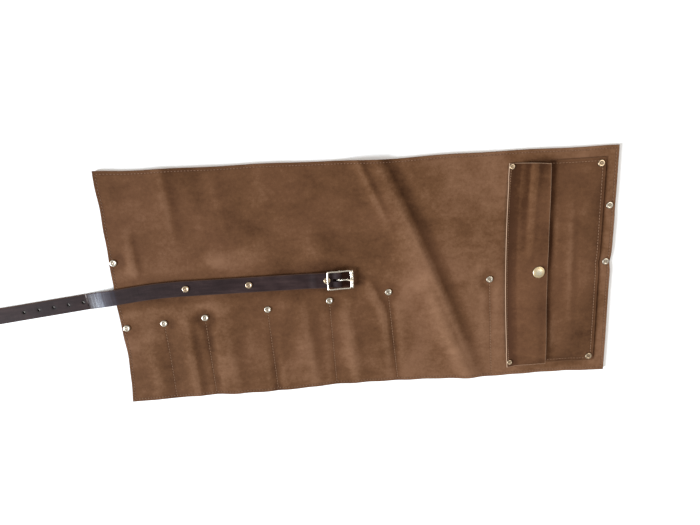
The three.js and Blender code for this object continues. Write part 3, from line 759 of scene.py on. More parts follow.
def sewn_line(name, lines, surface, pitch=3.8 * mm, up=1.0, cover=0.36, laid=drawn_in, thick=0.36 * mm):
    """Stitches along straight lines on a surface, joined in one mesh. Each stitch is a capsule: rings of six
    points whose radius, thick at its middle, follows an ellipse along it, closed by a point at each end.
    surface(x, y) gives the leather's height, up is 1 on the outer face, where a stitch stands a quarter of
    thick proud, and -1 on the inner one, where it is sunk by 1.05 of thick. cover is the half length of a
    stitch as a share of the pitch."""
    starts, ends = [], []
    for a, b in lines:
        a, b = np.array(a), np.array(b)
        count = max(1, int(np.hypot(*(b - a)) / pitch))
        share = (np.arange(count) + 0.5) / count
        half = cover * (b - a) / count
        starts.append(a + share[:, None] * (b - a) - half)
        ends.append(a + share[:, None] * (b - a) + half)
    starts, ends = np.concatenate(starts), np.concatenate(ends)
    sway = np.random.default_rng(7).normal(0, 0.09 * mm, starts.shape)
    starts, ends = starts + sway, ends - sway
    first = np.column_stack([*laid(*starts.T), surface(*starts.T)])
    last = np.column_stack([*laid(*ends.T), surface(*ends.T)])
    run = last - first
    length = np.linalg.norm(run, axis=1, keepdims=True)
    along = run / length
    normal = np.array([0, 0, up]) - along * along[:, 2:] * up
    normal = normal / np.linalg.norm(normal, axis=1, keepdims=True)
    across = np.cross(normal, along)
    lengths = -np.cos(np.linspace(0, math.pi, stitch_rings + 2)[1:-1]) / 2
    radii = thick * np.sqrt(1 - (2 * lengths) ** 2) ** 0.6
    angle = np.arange(stitch_sides) * 2 * math.pi / stitch_sides
    middle = (first + last) / 2 + normal * thick * (0.25 if up > 0 else -1.05)
    ring = (
        middle[:, None, None, :]
        + (run[:, None, None, :] * lengths[None, :, None, None])
        + across[:, None, None, :] * (radii[:, None] * np.cos(angle))[None, :, :, None]
        + normal[:, None, None, :] * (radii[:, None] * np.sin(angle))[None, :, :, None]
    )
    tips = np.stack([middle - run / 2, middle + run / 2], 1)
    many = len(middle)
    points = np.concatenate([ring.reshape(many, -1, 3), tips], 1)
    ids = np.arange(stitch_rings * stitch_sides).reshape(stitch_rings, stitch_sides)
    quads, fans = joined_rings(ids, ids.size, ids.size + 1)
    shift = (np.arange(many) * points.shape[1])[:, None, None]
    made = skin(name, points.reshape(-1, 3), (quads + shift).reshape(-1, 4), (fans + shift).reshape(-1, 3))
    mark(made, "twist", np.tile(np.concatenate([np.repeat(lengths, stitch_sides), [-0.5, 0.5]]), many))
    return made


def thread_of(name, dark, light):
    """Waxed thread: a dark and a light tan in bands along each stitch, dusted by a fine noise."""
    made, tree, face = new_material(name)
    place = shader(tree, "TexCoord").outputs["Object"]
    strands = sums(tree, "SINE", sums(tree, "MULTIPLY", carried(tree, "twist"), 26.0))
    dust = clouds(tree, place, 900.0, 3.0)
    mixed = sums(tree, "MULTIPLY_ADD", strands, 0.25, dust)
    tree.links.new(tint(tree, spread(tree, mixed, 0.3, 0.85), dark, light), face.inputs["Base Color"])
    tree.links.new(spread(tree, dust, 0.3, 0.7, 0.5, 0.75), face.inputs["Roughness"])
    raised(tree, face, mixed, 0.6, 0.08 * mm)
    return made


hem_thread = thread_of("thread_hem", paint(92, 62, 42), paint(150, 112, 84))
light_thread = thread_of("thread_light", paint(112, 78, 52), paint(158, 120, 90))


def outer_face(x, y):
    """The top of the body panel at that place."""
    return body_high.z + lie(x, y)


def inner_face(x, y):
    """The underside of the inner pocket panels at that place."""
    return lower_low.z + lie(x, y)


def bare_face(x, y):
    """The roll's underside: the body's own where no inner panel covers it, in the band under the strap, and
    the inner panels' everywhere else."""
    above_mouth = y > along_roll(mouth_left, mouth_right)(x)
    below_tips = y < along_roll(tip_edge_left, tip_edge_right)(x)
    return np.where(above_mouth & below_tips, body_low.z, lower_low.z) + lie(x, y)


def clear_of_rivets(lines):
    """The same lines, left out for 5.2 mm to either side of each rivet's cap that sits on them."""
    kept = []
    for a, b in lines:
        a, b = np.array(a), np.array(b)
        length = np.hypot(*(b - a))
        stops = []
        for name in cap_names:
            at = middle_of(name)
            if from_segment(at.x, at.y, a, b) < 5.5 * mm:
                reach = (np.array([at.x, at.y]) - a) @ (b - a) / length**2
                stops.append((reach - 5.2 * mm / length, reach + 5.2 * mm / length))
        start = 0.0
        for low, high in sorted(stops):
            if low > start:
                kept.append((a + start * (b - a), a + low * (b - a)))
            start = max(start, high)
        if start < 1:
            kept.append((a + start * (b - a), b))
    return kept


def pocket_face(x, y):
    """The top of the side pocket at that place."""
    return pocket_high.z + pocket_rise(x, y)


def margin_face(x, y):
    """The top of the flap's sewn margin at that place."""
    return margin_high.z + lie(x, y)


hem_sewn = clear_of_rivets(hem_lines)
hem_stitch = {"cover": 0.28, "thick": 0.44 * mm}
on_inner_face = {"up": -1.0}
stitched = [
    ("hem_stitches", hem_sewn, outer_face, hem_thread, hem_stitch),
    ("hem_stitches_inner", hem_sewn, bare_face, hem_thread, {**hem_stitch, **on_inner_face}),
    ("divider_stitches", seams, outer_face, light_thread, {}),
    ("divider_stitches_inner", seams, inner_face, light_thread, on_inner_face),
    ("pocket_stitches", pocket_seams, pocket_face, light_thread, {}),
    ("flap_stitches", [flap_seam], margin_face, light_thread, {"pitch": 3.0 * mm, "laid": flap_laid}),
]
for name, lines, surface, thread, changes in stitched:
    piece = sewn_line(name, lines, surface, **changes)
    piece.data.materials.append(thread)
    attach(piece, "roll")

# ---------------------------------------------------------------------------------------------
# Rivets: two-part capped rivets in antique nickel. The outer cap is pressed from sheet, with a
# raised ring and a dished middle, and the inner one is a thin flat cap on the rivet's post.
# ---------------------------------------------------------------------------------------------


def softened(profile):
    """Rounds a profile's corners, twice: two points on every stretch, a quarter in from its ends."""
    line = np.array(profile, float)
    for _ in range(2):
        early = 0.75 * line[:-1] + 0.25 * line[1:]
        late = 0.25 * line[:-1] + 0.75 * line[1:]
        line = np.concatenate([line[:1], np.stack([early, late], 1).reshape(-1, 2), line[-1:]])
    return line


def turned(name, profile, centre, foot, around=44):
    """A turned piece: a profile of (radius, height) from the axis below to the axis above, softened, then
    carried round a circle about the centre. The two ends on the axis close it. The material reads how far a
    place lies below the crest: in the dished middle, where patina sits, and on the outer rim, as painted
    shade."""
    line = softened(profile)
    line[0, 0] = line[-1, 0] = 0
    angle = np.arange(around) * 2 * math.pi / around
    radius, height = line[1:-1, 0], line[1:-1, 1]
    ring = np.stack([
        centre.x + radius[:, None] * np.cos(angle),
        centre.y + radius[:, None] * np.sin(angle),
        foot + np.broadcast_to(height[:, None], (len(radius), around)),
    ], -1)
    ends = np.array([[centre.x, centre.y, foot + line[0, 1]], [centre.x, centre.y, foot + line[-1, 1]]])
    ids = np.arange(ring.shape[0] * around).reshape(-1, around)
    quads, fans = joined_rings(ids, ids.size, ids.size + 1)
    made = skin(name, np.concatenate([ring.reshape(-1, 3), ends]), quads, fans)
    crest = float(line[:, 1].max())
    depth = np.clip((crest - height) / (0.45 * mm), 0, 1)
    # The dish below the crest holds patina; the cap's outer rim is painted darker as shade.
    inside = (radius < radius.max() * 0.93) * depth
    rim_shade = (radius > radius.max() * 0.9) * depth
    mark(made, "patina_and_shade", np.concatenate([np.repeat(inside + rim_shade * 0.8, around), [0, inside[-1]]]))
    return made


def half_and_height(node):
    """Half the width of a round node's box, and its height."""
    low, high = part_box(node)
    return (high.x - low.x) / 2, high.z - low.z


# Worn metal: dark tarnish stays in the hollows and in specks, and the crests are rubbed bright. The same
# dark colour is painted shade where the mesh marks a rivet cap's outer rim or a buckle bar's underside.
tarnish, given, result = effect(
    "tarnish",
    [
        ("Place", "Vector", None),
        ("Patina_and_shade", "Float", 0.0),
        ("Bright", "Color", paint(214, 206, 190)),
        ("Dull", "Color", paint(112, 98, 80)),
    ],
    [("Colour", "Color"), ("Roughness", "Float"), ("Height", "Float")],
)
smoke = clouds(tarnish, given["Place"], 420.0, 5.0, 0.6)
scratch = clouds(tarnish, stretched(tarnish, given["Place"], (900, 4200, 900), 0.7), 1.0, 3.0, 0.6)
speck = spread(tarnish, clouds(tarnish, given["Place"], 1500.0, 3.0, 0.6), 0.66, 0.78, 0.0, 0.3)
tarnish_and_shade = sums(tarnish, "MULTIPLY_ADD", given["Patina_and_shade"], 0.72, spread(tarnish, smoke, 0.4, 0.8, 0.0, 0.26))
tarnish_and_shade = shader(tarnish, "Math", {0: tarnish_and_shade, 1: speck}, operation="ADD", use_clamp=True).outputs[0]
tarnish.links.new(tint(tarnish, tarnish_and_shade, given["Bright"], given["Dull"]), result["Colour"])
dirty = spread(tarnish, tarnish_and_shade, 0.0, 1.0, 0.16, 0.46)
tarnish.links.new(sums(tarnish, "MULTIPLY_ADD", scratch, 0.16, dirty), result["Roughness"])
scratched = sums(tarnish, "MULTIPLY", scratch, 0.5)
tarnish.links.new(sums(tarnish, "MULTIPLY_ADD", smoke, 0.6, scratched), result["Height"])


def plated(name, bright, dull, relief=0.03 * mm):
    """A plated metal: the tarnish group on the piece's own place, with its bright and its dull colour."""
    made, tree, face = new_material(name)
    wires = {
        "Place": shader(tree, "TexCoord").outputs["Object"],
        "Patina_and_shade": carried(tree, "patina_and_shade"),
        "Bright": bright,
        "Dull": dull,
    }
    painted_shade_and_tone = shader(tree, "Group", wires, node_tree=tarnish).outputs
    tree.links.new(painted_shade_and_tone["Colour"], face.inputs["Base Color"])
    tree.links.new(painted_shade_and_tone["Roughness"], face.inputs["Roughness"])
    raised(tree, face, painted_shade_and_tone["Height"], 0.5, relief)
    face.inputs["Metallic"].default_value = 1.0
    return made


rivet_nickel = plated("antique_nickel", paint(224, 214, 196), paint(104, 88, 70))
# The rivets on the strap, the pocket and the flap have a warmer tone.
rivet_warm = plated("antique_nickel_warm", paint(212, 190, 160), paint(96, 72, 52))

for name in cap_names:
    at = middle_of(name)
    radius, height = half_and_height(name)
    cap = turned(
        name.replace("_cap", "_outer_cap"),
        [
            (0, 0.1 * mm - height * 0.2),
            (radius * 0.86, -height * 0.2),
            (radius * 0.99, height * 0.12),
            (radius, height * 0.42),
            (radius * 0.93, height * 0.8),
            (radius * 0.78, height * 1.02),
            (radius * 0.6, height * 0.99),
            (radius * 0.47, height * 0.72),
            (radius * 0.3, height * 0.62),
            (radius * 0.14, height * 0.74),
            (0, height * 0.76),
        ],
        at,
        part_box(name)[0].z,
    )
    cap.data.materials.append(rivet_warm if name.startswith(("strap", "pocket", "flap")) else rivet_nickel)
    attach(cap, "roll")
    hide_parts(name)

    post = name.replace("_cap", "_post")
    back_radius, post_height = half_and_height(post)
    back = turned(
        name.replace("_cap", "_back_cap"),
        [
            (0, 0.26 * mm),
            (back_radius * 0.4, 0.24 * mm),
            (back_radius * 0.62, 0),
            (back_radius * 0.9, 0),
            (back_radius, 0.22 * mm),
            (back_radius, 0.62 * mm),
            (back_radius * 0.9, 0.8 * mm),
            (1.5 * mm, 0.8 * mm),
            (1.2 * mm, 1.1 * mm),
            (1.2 * mm, post_height),
            (0, post_height),
        ],
        at,
        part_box(post)[0].z,
    )
    back.data.materials.append(rivet_nickel)
    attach(back, "roll")
    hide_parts(post)

# ---------------------------------------------------------------------------------------------
# Snap: a pale brass cap on the flap, its socket under the flap, and the stud that the socket
# clicks on to, set in the pocket panel with a flanged post behind it.
# ---------------------------------------------------------------------------------------------
pale_brass = plated("pale_brass", paint(255, 248, 224), paint(196, 172, 128))
snap_at = middle_of("snap_cap")
snap_low, snap_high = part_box("snap_cap")
snap_radius = half_and_height("snap_cap")[0]
cap_height = 2.4 * mm
cap_foot = snap_high.z - cap_height
stem_foot = snap_low.z - cap_foot
socket_radius, socket_height = half_and_height("snap_socket")
stud_radius, stud_height = half_and_height("snap_stud")
post_radius, post_height = half_and_height("snap_post")
cap_profile = [
    (0, stem_foot),
    (1.2 * mm, stem_foot),
    (1.3 * mm, -0.4 * mm),
    (1.4 * mm, 0),
    (snap_radius * 0.9, -0.2 * mm),
    (snap_radius, 0.3 * mm),
    (snap_radius, 0.9 * mm),
    (snap_radius * 0.93, 1.5 * mm),
    (snap_radius * 0.8, 1.75 * mm),
    (snap_radius * 0.72, 1.7 * mm),
    (snap_radius * 0.64, 1.95 * mm),
    (snap_radius * 0.35, 2.3 * mm),
    (0, cap_height),
]
socket_profile = [
    (0, 1.25 * mm),
    (2.2 * mm, 1.25 * mm),
    (2.35 * mm, 0.5 * mm),
    (2.6 * mm, 0),
    (3.6 * mm, 0.1 * mm),
    (4.4 * mm, 0.55 * mm),
    (socket_radius, 0.8 * mm),
    (socket_radius, socket_height),
    (1.6 * mm, socket_height),
    (0, socket_height),
]
stud_profile = [
    (0, 0),
    (stud_radius * 0.95, 0),
    (stud_radius, 0.4 * mm),
    (stud_radius * 0.8, 0.75 * mm),
    (2.2 * mm, 0.8 * mm),
    (1.5 * mm, 1.1 * mm),
    (1.9 * mm, 1.6 * mm),
    (1.7 * mm, stud_height),
    (0, stud_height),
]
post_profile = [
    (0, 0),
    (post_radius * 0.9, 0),
    (post_radius, 0.3 * mm),
    (post_radius * 0.9, 0.6 * mm),
    (1.0 * mm, 0.6 * mm),
    (0.9 * mm, post_height),
    (0, post_height),
]
snap_parts = [
    ("snap_cap_domed", "snap_cap", "flap", "snap_cap_brass", pale_brass, cap_profile),
    ("snap_socket_pressed", "snap_socket", "flap", "rivet_nickel", rivet_nickel, socket_profile),
    ("snap_stud_pressed", "snap_stud", "roll", "rivet_nickel", rivet_nickel, stud_profile),
    ("snap_post_flanged", "snap_post", "roll", "rivet_nickel", rivet_nickel, post_profile),
]
for part, node, rides, finish, metal, profile in snap_parts:
    foot = cap_foot if node == "snap_cap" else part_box(node)[0].z
    piece = turned(part, profile, snap_at, foot, around=56)
    piece.data.materials.append(metal)
    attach(piece, rides)
    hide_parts(node)

# ---------------------------------------------------------------------------------------------
# Strap: 20 mm wide, 2.6 mm thick, smooth dark waxed leather, riveted to the body in three places.
# Past the last rivet it is folded round the buckle's bar, and its punched tail runs down to the bench.
# ---------------------------------------------------------------------------------------------
strap_low, strap_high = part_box("strap")
tail_low, tail_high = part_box("strap_tail")
strap_width = 20 * mm
strap_thickness = tail_high.z - tail_low.z
strap_floor = strap_low.z
strap_round = 0.8 * mm
strap_edge_lines = np.array([1.6, 1.0, 0.6, 0.28, 0.08, 0])  # as shares of the rounding
flat_to_bench = 34 * mm
doubled_from, doubled_to = 16.5 * mm, 28.5 * mm  # where the doubled end thins out, from the riveted end
doubled_rise = strap_high.z - strap_floor - strap_thickness
edge_length = float(np.hypot(*(roll_edge - arc_end)))
arc_length = arc_radius * arc_turn
straight_length = strap_high.x - arc_start_x
length_to_edge = straight_length + arc_length + edge_length


def strap_place(run):
    """The strap's middle line by the length run from its riveted end: x, y and the direction's angle. It is
    straight, then turns on the arc, then goes straight on past the roll's edge."""
    turn = np.clip((run - straight_length) / arc_radius, 0, arc_turn)
    x = strap_high.x - np.minimum(run, straight_length) - arc_radius * np.sin(turn)
    y = strap_side.y - arc_radius * (1 - np.cos(turn))
    past = np.maximum(run - straight_length - arc_length, 0)
    return x - past * math.cos(arc_turn), y - past * math.sin(arc_turn), turn


def strap_height(run):
    """The height of the strap's underside: flat on the body, then down to the bench over 34 mm, ever steeper
    (as the 1.35th power of the way), where a set crease turns it flat again."""
    down = np.clip((run - length_to_edge) / flat_to_bench, 0, 1) ** 1.35
    return strap_floor * (1 - down)


def strap_depth(run):
    """The strap's thickness: 2.6 mm, rising to its doubled, thinned end near the buckle."""
    return strap_thickness + doubled_rise * ease((doubled_to - run) / (doubled_to - doubled_from))


def strap_piece(name, start, end, holes=(), pointed=False):
    """A stretch of strap from start to end along its run. Its grid lines are close together at the rounded
    edges. Each hole is a square of the grid drawn out to a circle, and a pointed end narrows and rounds off.
    The material reads cut, the place on the strap, raw, its cut edge, and the rim of each hole, painted dark
    as shade."""
    middle_lines = np.linspace(-1, 1, 15)[1:-1] * (strap_width / 2 - 1.6 * strap_round)
    side_lines = strap_width / 2 - strap_round * strap_edge_lines
    lines = np.concatenate([-side_lines[::-1], middle_lines, side_lines])
    spacing = middle_lines[1] - middle_lines[0]
    count = int(round((end - start) / spacing))
    runs = np.linspace(start, end, count + 1)
    if pointed:
        tip_lines = end - strap_round * strap_edge_lines
        runs = np.concatenate([runs[runs < tip_lines[0] - 0.4 * mm], tip_lines])
    for hole in holes:
        near = int(np.argmin(np.abs(runs - hole)))
        runs = runs + (hole - runs[near]) * np.exp(-(((runs - hole) / (6 * mm)) ** 2))
    run, side = np.meshgrid(runs, lines, indexing="ij")
    from_edge = strap_width / 2 - np.abs(side)
    if pointed:
        share = np.clip((run - end) / (16 * mm) + 1, 0, 1)
        side = side * (1 - 0.6 * share**1.5)
        run = run - 20 * mm * (side / (strap_width / 2)) ** 2 * share**3
        from_edge = np.minimum(from_edge, end - runs[:, None])
    kept = np.ones((len(runs) - 1, len(lines) - 1), bool)
    sunk = np.zeros_like(run)
    for hole in holes:
        row = int(np.argmin(np.abs(runs - hole)))
        column = len(lines) // 2
        steps_along = (np.arange(len(runs)) - row)[:, None]
        steps_across = (np.arange(len(lines)) - column)[None, :]
        square = np.maximum(np.abs(steps_along), np.abs(steps_across))
        away = np.hypot(steps_along, steps_across)
        scale = 1.8 * mm * square / 2 / np.maximum(away, 1e-9)
        pull = ease((5 - square) / 3.0) * (square >= 1) * (square <= 4)
        run = run * (1 - pull) + (hole + scale * steps_along) * pull
        side = side * (1 - pull) + scale * steps_across * pull
        sunk = sunk + 0.12 * mm * (square <= 2)
        kept[row - 2:row + 2, column - 2:column + 2] = False
    x, y, turn = strap_place(run)
    px = x + side * -np.sin(turn)
    py = y + side * np.cos(turn)
    under = strap_height(run)
    off_crown = 0.18 * mm * (side / (strap_width / 2)) ** 2
    drop = turn_over(np.maximum(from_edge, 0), strap_round)
    upper = np.stack([px, py, under + strap_depth(run) - drop - off_crown - sunk], -1)
    lower = np.stack([px, py, under + drop * 0.8], -1)
    made, used = closed_skin(name, upper[::-1], lower[::-1], kept[::-1])
    raw = 1 - ease(from_edge / (1.5 * strap_round))
    # The rims of the holes are painted dark as shade.
    hole_shade = np.clip(sunk / (0.12 * mm), 0, 1)

    def both(values):
        """The same value for a point of the upper grid and the one under it, for the points used."""
        return np.tile(values[::-1].ravel(), 2)[used]

    face_side = np.repeat([faces_apart, 0.0], run.size)[used]
    mark(made, "cut", np.column_stack([both(run), both(side), face_side]))
    mark(made, "raw", both(raw))
    mark(made, "rub_and_shade", both(hole_shade))
    return made


strap_holes = [length_to_edge + (39.5 + 18.5 * i) * mm for i in range(5)]
bend_split = length_to_edge + flat_to_bench
tail_end = length_to_edge + 185.5 * mm
riveted_strap = strap_piece("strap_riveted", 0, length_to_edge)
strap_drop = strap_piece("strap_drop", length_to_edge, bend_split)
strap_end_piece = strap_piece("strap_punched_tail", bend_split, tail_end, strap_holes, pointed=True)

# Waxed strap leather: nearly black brown, with fine wrinkles across it, cut edges paler than the face and
# painted shade on the rims of the holes. Where it slopes down to the bench it is polished smoother and
# coated, with a painted bluish sheen in streaks, and a painted highlight crosses it at the crease at the
# foot of the slope.
waxed, tree, face = new_material("waxed_strap")
place = carried(tree, "cut", "Vector")
raw = carried(tree, "raw")
hole_shade = carried(tree, "rub_and_shade")
haze = clouds(tree, place, 30.0, 5.0, 0.6, 0.4)
smear = clouds(tree, stretched(tree, place, (40, 260, 60)), 1.0, 5.0, 0.6)
pores = clouds(tree, place, 1100.0, 3.0, 0.6)
wrinkle = clouds(tree, stretched(tree, place, (420, 60, 60)), 1.0, 4.0, 0.6, 0.3)
leather_tone = sums(tree, "MULTIPLY_ADD", smear, 0.6, sums(tree, "MULTIPLY", haze, 0.55))
strap_colour = colour_scale(
    tree,
    spread(tree, leather_tone, 0.38, 0.78),
    (0.0, paint(30, 20, 20)),
    (0.5, paint(41, 29, 29)),
    (1.0, paint(56, 42, 41)),
)
strap_colour = tint(tree, sums(tree, "MULTIPLY", raw, 0.55), strap_colour, paint(96, 70, 54))
# Painted shade in the holes: their rims near black.
strap_colour = tint(tree, sums(tree, "MULTIPLY", hole_shade, 0.9), strap_colour, paint(14, 9, 8))
along = shader(tree, "SeparateXYZ", {"Vector": place})
past_edge = sums(tree, "SUBTRACT", along.outputs["X"], length_to_edge)
# Painted highlight: a pale line across the strap at the crease at the foot of the slope.
from_crease = sums(tree, "ABSOLUTE", sums(tree, "SUBTRACT", past_edge, 34.4 * mm))
crease = spread(tree, from_crease, 0.2 * mm, 0.9 * mm, 0.75, 0.0)
crease = sums(tree, "MULTIPLY", crease, spread(tree, along.outputs["Y"], -3 * mm, 3 * mm))
strap_colour = tint(tree, crease, strap_colour, paint(168, 158, 156))
# Painted bluish sheen in streaks on the slope; the same mask makes it smoother and coated.
streak = clouds(tree, stretched(tree, place, (330, 26, 60)), 1.0, 3.0, 0.55, 0.2)
slope_top = spread(tree, past_edge, -6 * mm, 16 * mm)
slope_foot = spread(tree, past_edge, 22 * mm, 33 * mm, 1.0, 0.0)
polish_and_sheen = sums(tree, "MULTIPLY", slope_top, slope_foot)
polish_and_sheen = sums(tree, "MULTIPLY", polish_and_sheen, spread(tree, streak, 0.4, 0.62, 0.35, 1.0))
strap_colour = tint(tree, sums(tree, "MULTIPLY", polish_and_sheen, 0.22), strap_colour, paint(84, 104, 140))
tree.links.new(strap_colour, face.inputs["Base Color"])
dull = spread(tree, sums(tree, "MULTIPLY_ADD", pores, 0.3, haze), 0.4, 0.9, 0.46, 0.62)
tree.links.new(sums(tree, "MULTIPLY_ADD", polish_and_sheen, -0.2, dull), face.inputs["Roughness"])
tree.links.new(sums(tree, "MULTIPLY", polish_and_sheen, 0.85), face.inputs["Coat Weight"])
fold_lines = sums(tree, "MULTIPLY_ADD", wrinkle, 0.7, sums(tree, "MULTIPLY", pores, 0.45))
raised(tree, face, fold_lines, 0.7, 0.16 * mm)
face.inputs["Specular IOR Level"].default_value = 0.09
face.inputs["Coat Roughness"].default_value = 0.2

for piece, node in ((riveted_strap, "strap"), (strap_drop, "strap_bend"), (strap_end_piece, "strap_tail")):
    piece.data.materials.append(waxed)
    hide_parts(node)
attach(riveted_strap, "roll")
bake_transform(strap_drop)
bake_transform(strap_end_piece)

# Folded end: the strap's end, thinned and turned back round the bar, with a slot for the tongue.
loop_low, loop_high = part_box("strap_loop")
fold_outer = (loop_high.z - loop_low.z) / 2
bar_x, bar_z = loop_high.x - fold_outer, loop_low.z + fold_outer
bar_radius = 1.4 * mm


def folded_end(name, slot_half=1.7 * mm, slot_back=8 * mm):
    """The fold: a profile in x and z that runs from the upper leaf's start over the bar to the lower leaf's
    start, given as an outer and an inner line, carried across the strap's width. Its sides turn over by
    moving the outer line towards the inner one, and the cells in the slot are left out."""
    leaf = np.linspace(0, 1, 9)[:-1]
    leaf_x = loop_low.x + leaf * (bar_x - loop_low.x)
    half_turn = np.linspace(math.pi / 2, -math.pi / 2, 21)
    rise = ease(leaf)
    inner = bar_radius + 0.25 * mm
    shut = 0.12 * mm  # half the gap between the two leaves
    root_z = strap_floor + (strap_high.z - strap_floor) / 2
    middle_z = root_z + (bar_z - root_z) * rise
    opening = shut + (inner - shut) * rise
    top_z = strap_high.z + (loop_high.z - strap_high.z) * rise
    outer_x = np.concatenate([leaf_x, bar_x + fold_outer * np.cos(half_turn), leaf_x[::-1]])
    foot_z = np.full(len(leaf), loop_low.z)
    outer_z = np.concatenate([top_z, bar_z + fold_outer * np.sin(half_turn), foot_z])
    inner_x = np.concatenate([leaf_x, bar_x + inner * np.cos(half_turn), leaf_x[::-1]])
    under_z = (middle_z - opening)[::-1]
    inner_z = np.concatenate([middle_z + opening, bar_z + inner * np.sin(half_turn), under_z])
    side_lines = strap_width / 2 - strap_round * strap_edge_lines[::-1]
    inside = np.linspace(strap_width / 2 - 1.6 * strap_round, slot_half, 6)[1:]
    lines = np.concatenate([-side_lines, -inside, [0.0], inside[::-1], side_lines[::-1]])
    edge = strap_width / 2 - np.abs(lines)
    share = (turn_over(edge, strap_round) / (fold_outer * 2))[:, None, None]
    outer = np.stack(np.broadcast_arrays(outer_x, strap_side.y + lines[:, None], outer_z), -1)
    within = np.stack(np.broadcast_arrays(inner_x, strap_side.y + lines[:, None], inner_z), -1)
    skewed = outer + (within - outer) * share * 2.2
    centre_x = (outer_x[:-1] + outer_x[1:]) / 2
    centre_y = (lines[:-1] + lines[1:]) / 2
    kept = ~((centre_x[None, :] > bar_x - slot_back) & (np.abs(centre_y)[:, None] < slot_half))
    made, used = closed_skin(name, skewed, within, kept)
    length = np.concatenate([[0], np.cumsum(np.hypot(np.diff(outer_x), np.diff(outer_z)))])
    raw = (1 - ease(edge / (1.5 * strap_round)))[:, None]
    along, across, raw = np.broadcast_arrays(-length, lines[:, None], raw)
    face_side = np.repeat([faces_apart, 0.0], along.size)[used]
    flat = np.column_stack([np.tile(along.ravel(), 2), np.tile(across.ravel(), 2)])[used]
    mark(made, "cut", np.column_stack([flat, face_side]))
    mark(made, "raw", np.tile(raw.ravel(), 2)[used])
    mark(made, "rub_and_shade", np.zeros(len(used)))
    return made


strap_fold = folded_end("strap_folded_end")
strap_fold.data.materials.append(waxed)
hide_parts("strap_loop")
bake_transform(strap_fold)

# ---------------------------------------------------------------------------------------------
# Buckle: a cast nickel frame whose centre bar the strap is folded round. The heel bar stands over
# the last rivet, and the outer bar is doubled: a smooth inner strip and a ribbed outer one.
# ---------------------------------------------------------------------------------------------
ring_low, ring_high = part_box("buckle_frame")
ring_tilt = math.radians(5.7)
heel_x = ring_low.x + 1.3 * mm
heel_z = ring_high.z - 1.35 * mm
ring_long = (ring_high.x - ring_low.x) / math.cos(ring_tilt)
ring_wide = ring_high.y - ring_low.y


def rod(path, side_radius, up_radius, closed=False, ups=(0, 0, 1), around=14):
    """A bar of oval section carried along a path of points. At each one the section stands square to the
    path, side_radius wide and up_radius high. An open bar is closed by a point at each end."""
    path = np.asarray(path, float)
    if closed:
        ahead = np.roll(path, -1, 0) - np.roll(path, 1, 0)
    else:
        ahead = np.gradient(path, axis=0)
    ahead = ahead / np.linalg.norm(ahead, axis=1, keepdims=True)
    side = np.cross(np.broadcast_to(np.array(ups, float), path.shape), ahead)
    side = side / np.linalg.norm(side, axis=1, keepdims=True)
    up = np.cross(ahead, side)
    angle = (np.arange(around) * 2 * math.pi / around)[:, None]
    wide = np.broadcast_to(side_radius, len(path))[:, None, None]
    high = np.broadcast_to(up_radius, len(path))[:, None, None]
    ring = path[:, None] + side[:, None] * wide * np.cos(angle) + up[:, None] * high * np.sin(angle)
    ids = np.arange(len(path) * around).reshape(-1, around)
    if closed:
        quads, _ = joined_rings(np.concatenate([ids, ids[:1]]), 0, 0)
        return ring.reshape(-1, 3), quads, np.zeros((0, 3), int)
    quads, fans = joined_rings(ids, ids.size, ids.size + 1)
    return np.concatenate([ring.reshape(-1, 3), path[:1], path[-1:]]), quads, fans


def blunt(share, power):
    """A bar's thickness along it: full in the middle and nothing at its ends, at -1 and 1, as the square root
    of 1 less that power of the share. The higher the power, the squarer the ends."""
    return np.sqrt(np.maximum(1 - np.abs(share) ** power, 0.0)) + 1e-4


def welded(name, *parts):
    """Several closed bars as one mesh: their points in turn, and their faces renumbered to match."""
    points, quads, triangles, start = [], [], [], 0
    for part_points, part_quads, part_triangles in parts:
        points.append(part_points)
        quads.append(part_quads + start)
        triangles.append(part_triangles + start)
        start += len(part_points)
    return skin(name, np.concatenate(points), np.concatenate(quads), np.concatenate(triangles))


def leaned(u, v):
    """Places on the buckle's ring: u along it from the heel bar's middle and v across, turned down by its
    tilt."""
    x = heel_x + u * math.cos(ring_tilt)
    z = heel_z - u * math.sin(ring_tilt)
    return np.column_stack([x, strap_side.y + v, z])


half_wide = ring_wide / 2 - 1.1 * mm
inner_length = ring_long - 4.4 * mm
turn = np.linspace(0, 2 * math.pi, 161)[:-1]
square_u = inner_length / 2 + inner_length / 2 * np.sign(np.cos(turn)) * np.abs(np.cos(turn)) ** 0.22
square_v = half_wide * np.sign(np.sin(turn)) * np.abs(np.sin(turn)) ** 0.22
bowed = square_v * (1 - 0.05 * np.sin(math.pi * np.clip(square_u / inner_length, 0, 1)))
ring_path = leaned(square_u, bowed)
heel_share = 1 - ease(square_u / (3 * mm))
outer_share = ease((square_u - inner_length + 3 * mm) / (3 * mm))
ring_side = (1.05 + 0.2 * heel_share + 0.15 * outer_share) * mm
ring_up = (1.2 + 0.1 * heel_share) * mm
leaned_up = (math.sin(ring_tilt), 0, math.cos(ring_tilt))
ring_bar = rod(ring_path, ring_side, ring_up, closed=True, ups=leaned_up)

heel_v = np.linspace(-1, 1, 41)
heel_round = blunt(heel_v, 14)
heel_path = leaned(0 * heel_v, heel_v * (half_wide + 0.9 * mm))
heel_bar = rod(heel_path, 1.25 * mm * heel_round, 1.3 * mm * heel_round)

rib_v = np.linspace(-1, 1, 121)
ribs = 0.72 + 0.28 * np.abs(np.cos(rib_v * math.pi * 2.75)) ** 0.5
rib_round = blunt(rib_v, 10)
rib_path = leaned(inner_length + 1.75 * mm + 0 * rib_v, rib_v * (half_wide + 0.3 * mm))
rib_bar = rod(rib_path, 1.5 * mm * ribs * rib_round, 1.25 * mm * ribs * rib_round)

bar_v = np.linspace(-1, 1, 25)
bar_round = blunt(bar_v, 12)
bar_y = strap_side.y + bar_v * (half_wide + 0.4 * mm)
bar_path = np.column_stack([np.full_like(bar_v, bar_x), bar_y, np.full_like(bar_v, bar_z)])
centre_bar = rod(bar_path, bar_radius * bar_round, bar_radius * bar_round)

